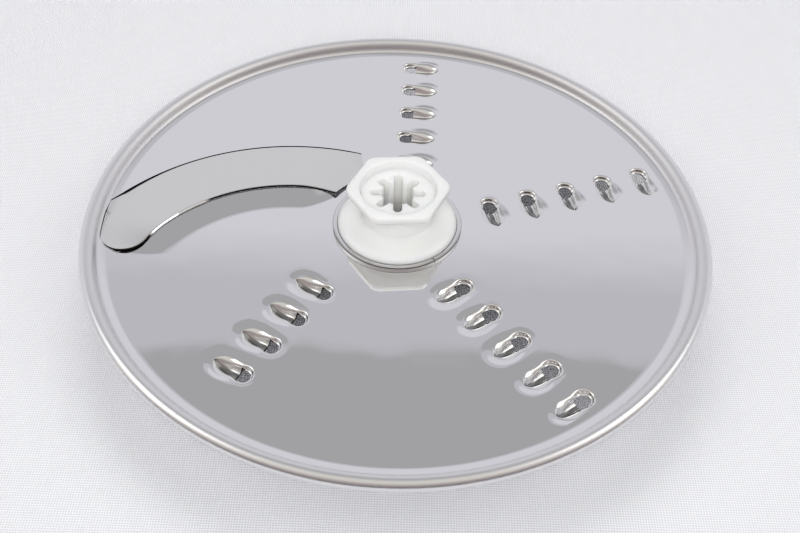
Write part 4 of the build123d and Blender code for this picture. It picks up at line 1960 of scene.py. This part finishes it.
@dataclass
class Studio:
    """Camera, lights, world and floor.

    The camera's place and aim are in millimetres from the plate's upper face. Each wall of the
    world has three tones, and its heights say where one tone ends and the next is reached.
    """

    eye: tuple[float, float, float] = (0.0, -213.68, 208.09)
    aim: tuple[float, float, float] = (1.167, -16.52, 0.0)
    roll: float = 2.078
    lens: float = 47.18
    sensor: float = 36.0
    nearest: float = 0.01
    back_tones: tuple[str, str, str] = ("#E3E3E9", "#CBCBD1", "#B3B3B5")
    back_heights: tuple[float, ...] = (0.702, 0.738, 0.7765, 0.7795)
    front_tones: tuple[str, str, str] = ("#181818", "#ACA1A0", "#E4E1DB")
    front_heights: tuple[float, ...] = (0.2, 0.34, 0.62, 0.84)
    wall_turn: tuple[float, float] = (-0.05, 0.25)
    front_fill: float = 0.4
    back_fill: float = 0.26
    fill_turn: tuple[float, float] = (-0.7, 0.7)
    floor_half: float = 4.0

    def add_camera(self, rise: float) -> None:
        """Place the camera as in the photograph.

        Args:
            rise: height of the plate's upper face in the frame, in millimetres.
        """
        up = Vector((0.0, 0.0, rise))
        eye = (Vector(self.eye) + up) * MM
        ahead = ((Vector(self.aim) + up) * MM - eye).normalized()
        right = ahead.cross(Vector((0.0, 0.0, 1.0))).normalized()
        above = right.cross(ahead)
        turn = math.radians(self.roll)
        tilted_right = right * math.cos(turn) + above * math.sin(turn)
        tilted_above = above * math.cos(turn) - right * math.sin(turn)
        data = bpy.data.cameras.new("photo_camera")
        data.lens = self.lens
        data.sensor_width = self.sensor
        data.clip_start = self.nearest
        camera = bpy.data.objects.new("photo_camera", data)
        axes = Matrix((tilted_right, tilted_above, -ahead)).transposed()
        camera.matrix_world = Matrix.Translation(eye) @ axes.to_4x4()
        bpy.context.scene.collection.objects.link(camera)
        bpy.context.scene.camera = camera

    def add_light(self, box: SoftBox) -> None:
        """Add a lamp that looks at the object.

        Args:
            box: the lamp's place, width and power.
        """
        data = bpy.data.lights.new(box.name, "AREA")
        data.shape = "RECTANGLE"
        data.size = data.size_y = box.width
        data.energy = box.power
        light = bpy.data.objects.new(box.name, data)
        light.location = box.place
        light.rotation_euler = (-Vector(box.place)).to_track_quat("-Z", "Y").to_euler()
        light.visible_glossy = box.mirrored
        bpy.context.scene.collection.objects.link(light)

    def add_world(self) -> None:
        """Make the room that the steel mirrors and the even fill that cloth and plastic get.

        The room has a pale back wall under a greyer ceiling, and a warm wall on the camera's side
        that is dark low down. Each is a ramp over the height on a flat wall, z over the root of
        1 less x squared, which is the sine of the elevation seen square to the wall.
        """
        world = bpy.data.worlds.new("studio")
        world.use_nodes = True
        world.node_tree.nodes.clear()
        nodes = Nodes(world.node_tree)
        place = nodes.add("ShaderNodeTexCoord").outputs["Generated"]
        axes = nodes.add("ShaderNodeSeparateXYZ", Vector=place)
        x, y, z = (axes.outputs[name] for name in "XYZ")
        square = nodes.add("ShaderNodeMath", {0: x, 1: x}, operation="MULTIPLY")
        rest = nodes.add("ShaderNodeMath", {0: 1.0, 1: square.outputs[0]}, operation="SUBTRACT")
        root = nodes.add("ShaderNodeMath", {0: rest.outputs[0]}, operation="SQRT")
        height = nodes.add("ShaderNodeMath", {0: z, 1: root.outputs[0]}, operation="DIVIDE")
        walls = []
        for heights, tones in (
            (self.front_heights, self.front_tones),
            (self.back_heights, self.back_tones),
        ):
            ramp = nodes.add("ShaderNodeValToRGB", Fac=height.outputs["Value"])
            elements = ramp.color_ramp.elements
            elements.remove(elements[0])
            twice = [linear(tone) for tone in tones for _ in range(2)]
            for stop, colour in zip((0.0, *heights), twice):
                elements.new(stop).color = colour
            elements[-1].position, elements[-1].color = 1.0, twice[-1]
            walls.append(ramp.outputs["Color"])
        side = nodes.add(
            "ShaderNodeMapRange", Value=y, From_Min=self.wall_turn[0], From_Max=self.wall_turn[1]
        )
        room = nodes.add(
            "ShaderNodeMix",
            {0: side.outputs["Result"], 6: walls[0], 7: walls[1]},
            data_type="RGBA",
        )
        mirrored = nodes.add("ShaderNodeBackground", Color=room.outputs[2])
        # Reflections show the room; cloth and plastic get an even fill, more of it from the front
        fill = nodes.add(
            "ShaderNodeMapRange",
            Value=y,
            From_Min=self.fill_turn[0],
            From_Max=self.fill_turn[1],
            To_Min=self.front_fill,
            To_Max=self.back_fill,
        )
        even = nodes.add("ShaderNodeBackground", Strength=fill.outputs["Result"])
        rays = nodes.add("ShaderNodeLightPath")
        surface = nodes.add(
            "ShaderNodeMixShader",
            {
                0: rays.outputs["Is Glossy Ray"],
                1: even.outputs["Background"],
                2: mirrored.outputs["Background"],
            },
        )
        nodes.add("ShaderNodeOutputWorld", Surface=surface.outputs["Shader"])
        bpy.context.scene.world = world

    def add_floor(self, cloth: bpy.types.Material) -> None:
        """Lay the floor under the hub.

        Args:
            cloth: material of the floor.
        """
        half = self.floor_half
        mesh = bpy.data.meshes.new("floor")
        corners = [(-half, -half, 0.0), (half, -half, 0.0), (half, half, 0.0), (-half, half, 0.0)]
        mesh.from_pydata(corners, [], [(0, 1, 2, 3)])
        mesh.materials.append(cloth)
        floor = bpy.data.objects.new("floor", mesh)
        bpy.context.scene.collection.objects.link(floor)

    def build(self, rise: float) -> None:
        """Make the whole studio.

        Args:
            rise: height of the plate's upper face in the frame, in millimetres.
        """
        self.add_camera(rise)
        self.add_world()
        for box in SOFT_BOXES:
            self.add_light(box)
        self.add_floor(PaleCloth().build())
        bpy.context.scene.view_settings.view_transform = "Standard"


SCOOP_ROWS = (
    ScoopRow(bearing=88.0, heading=176.0, side=-3.5, first=0.306, pitch=0.1356, count=5),
    ScoopRow(bearing=18.4, heading=104.4, side=-2.4, first=0.319, pitch=0.1360, count=5),
    ScoopRow(bearing=-51.4, heading=37.5, side=-3.0, first=0.335, pitch=0.1311, count=5),
    ScoopRow(bearing=-122.9, heading=-30.0, side=-4.4, first=0.374, pitch=0.1267, count=4),
)


def settle(piece: bpy.types.Object, node: str, material: bpy.types.Material) -> None:
    """Give a piece its material and put it in a node's place.

    Args:
        piece: new piece.
        node: name of the solid that it stands for.
        material: finish of the piece.
    """
    piece.data.materials.append(material)
    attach(piece, BODY)
    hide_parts(node)
    LOG.info("%s stands for %s in %s", piece.name, node, material.name)


def main() -> None:
    """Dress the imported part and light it."""
    logging.basicConfig(level=logging.INFO, format="%(name)s: %(message)s")
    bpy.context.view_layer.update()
    hub_low, hub_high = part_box("hub")
    disc_low, disc_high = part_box("disc")
    across = min(disc_high.x - disc_low.x, disc_high.y - disc_low.y)
    sheet = Sheet(rim_radius=across / 2 / MM)
    total = (hub_high.z - hub_low.z) / MM
    hub_height = (total - sheet.thickness) / 2
    rise = hub_height + sheet.thickness
    ring = SplitRing()
    plan = BladePlan(rim_radius=sheet.rim_radius, ring_radius=ring.outer)
    disc = PressedDisc(sheet, plan, ScoopForm(), SCOOP_ROWS)
    hub = MouldedHub(hub_height, sheet.thickness)
    for part in (disc, hub, ring):
        part.dress(rise)
    Studio().build(rise)


if __name__ == "__main__":
    main()
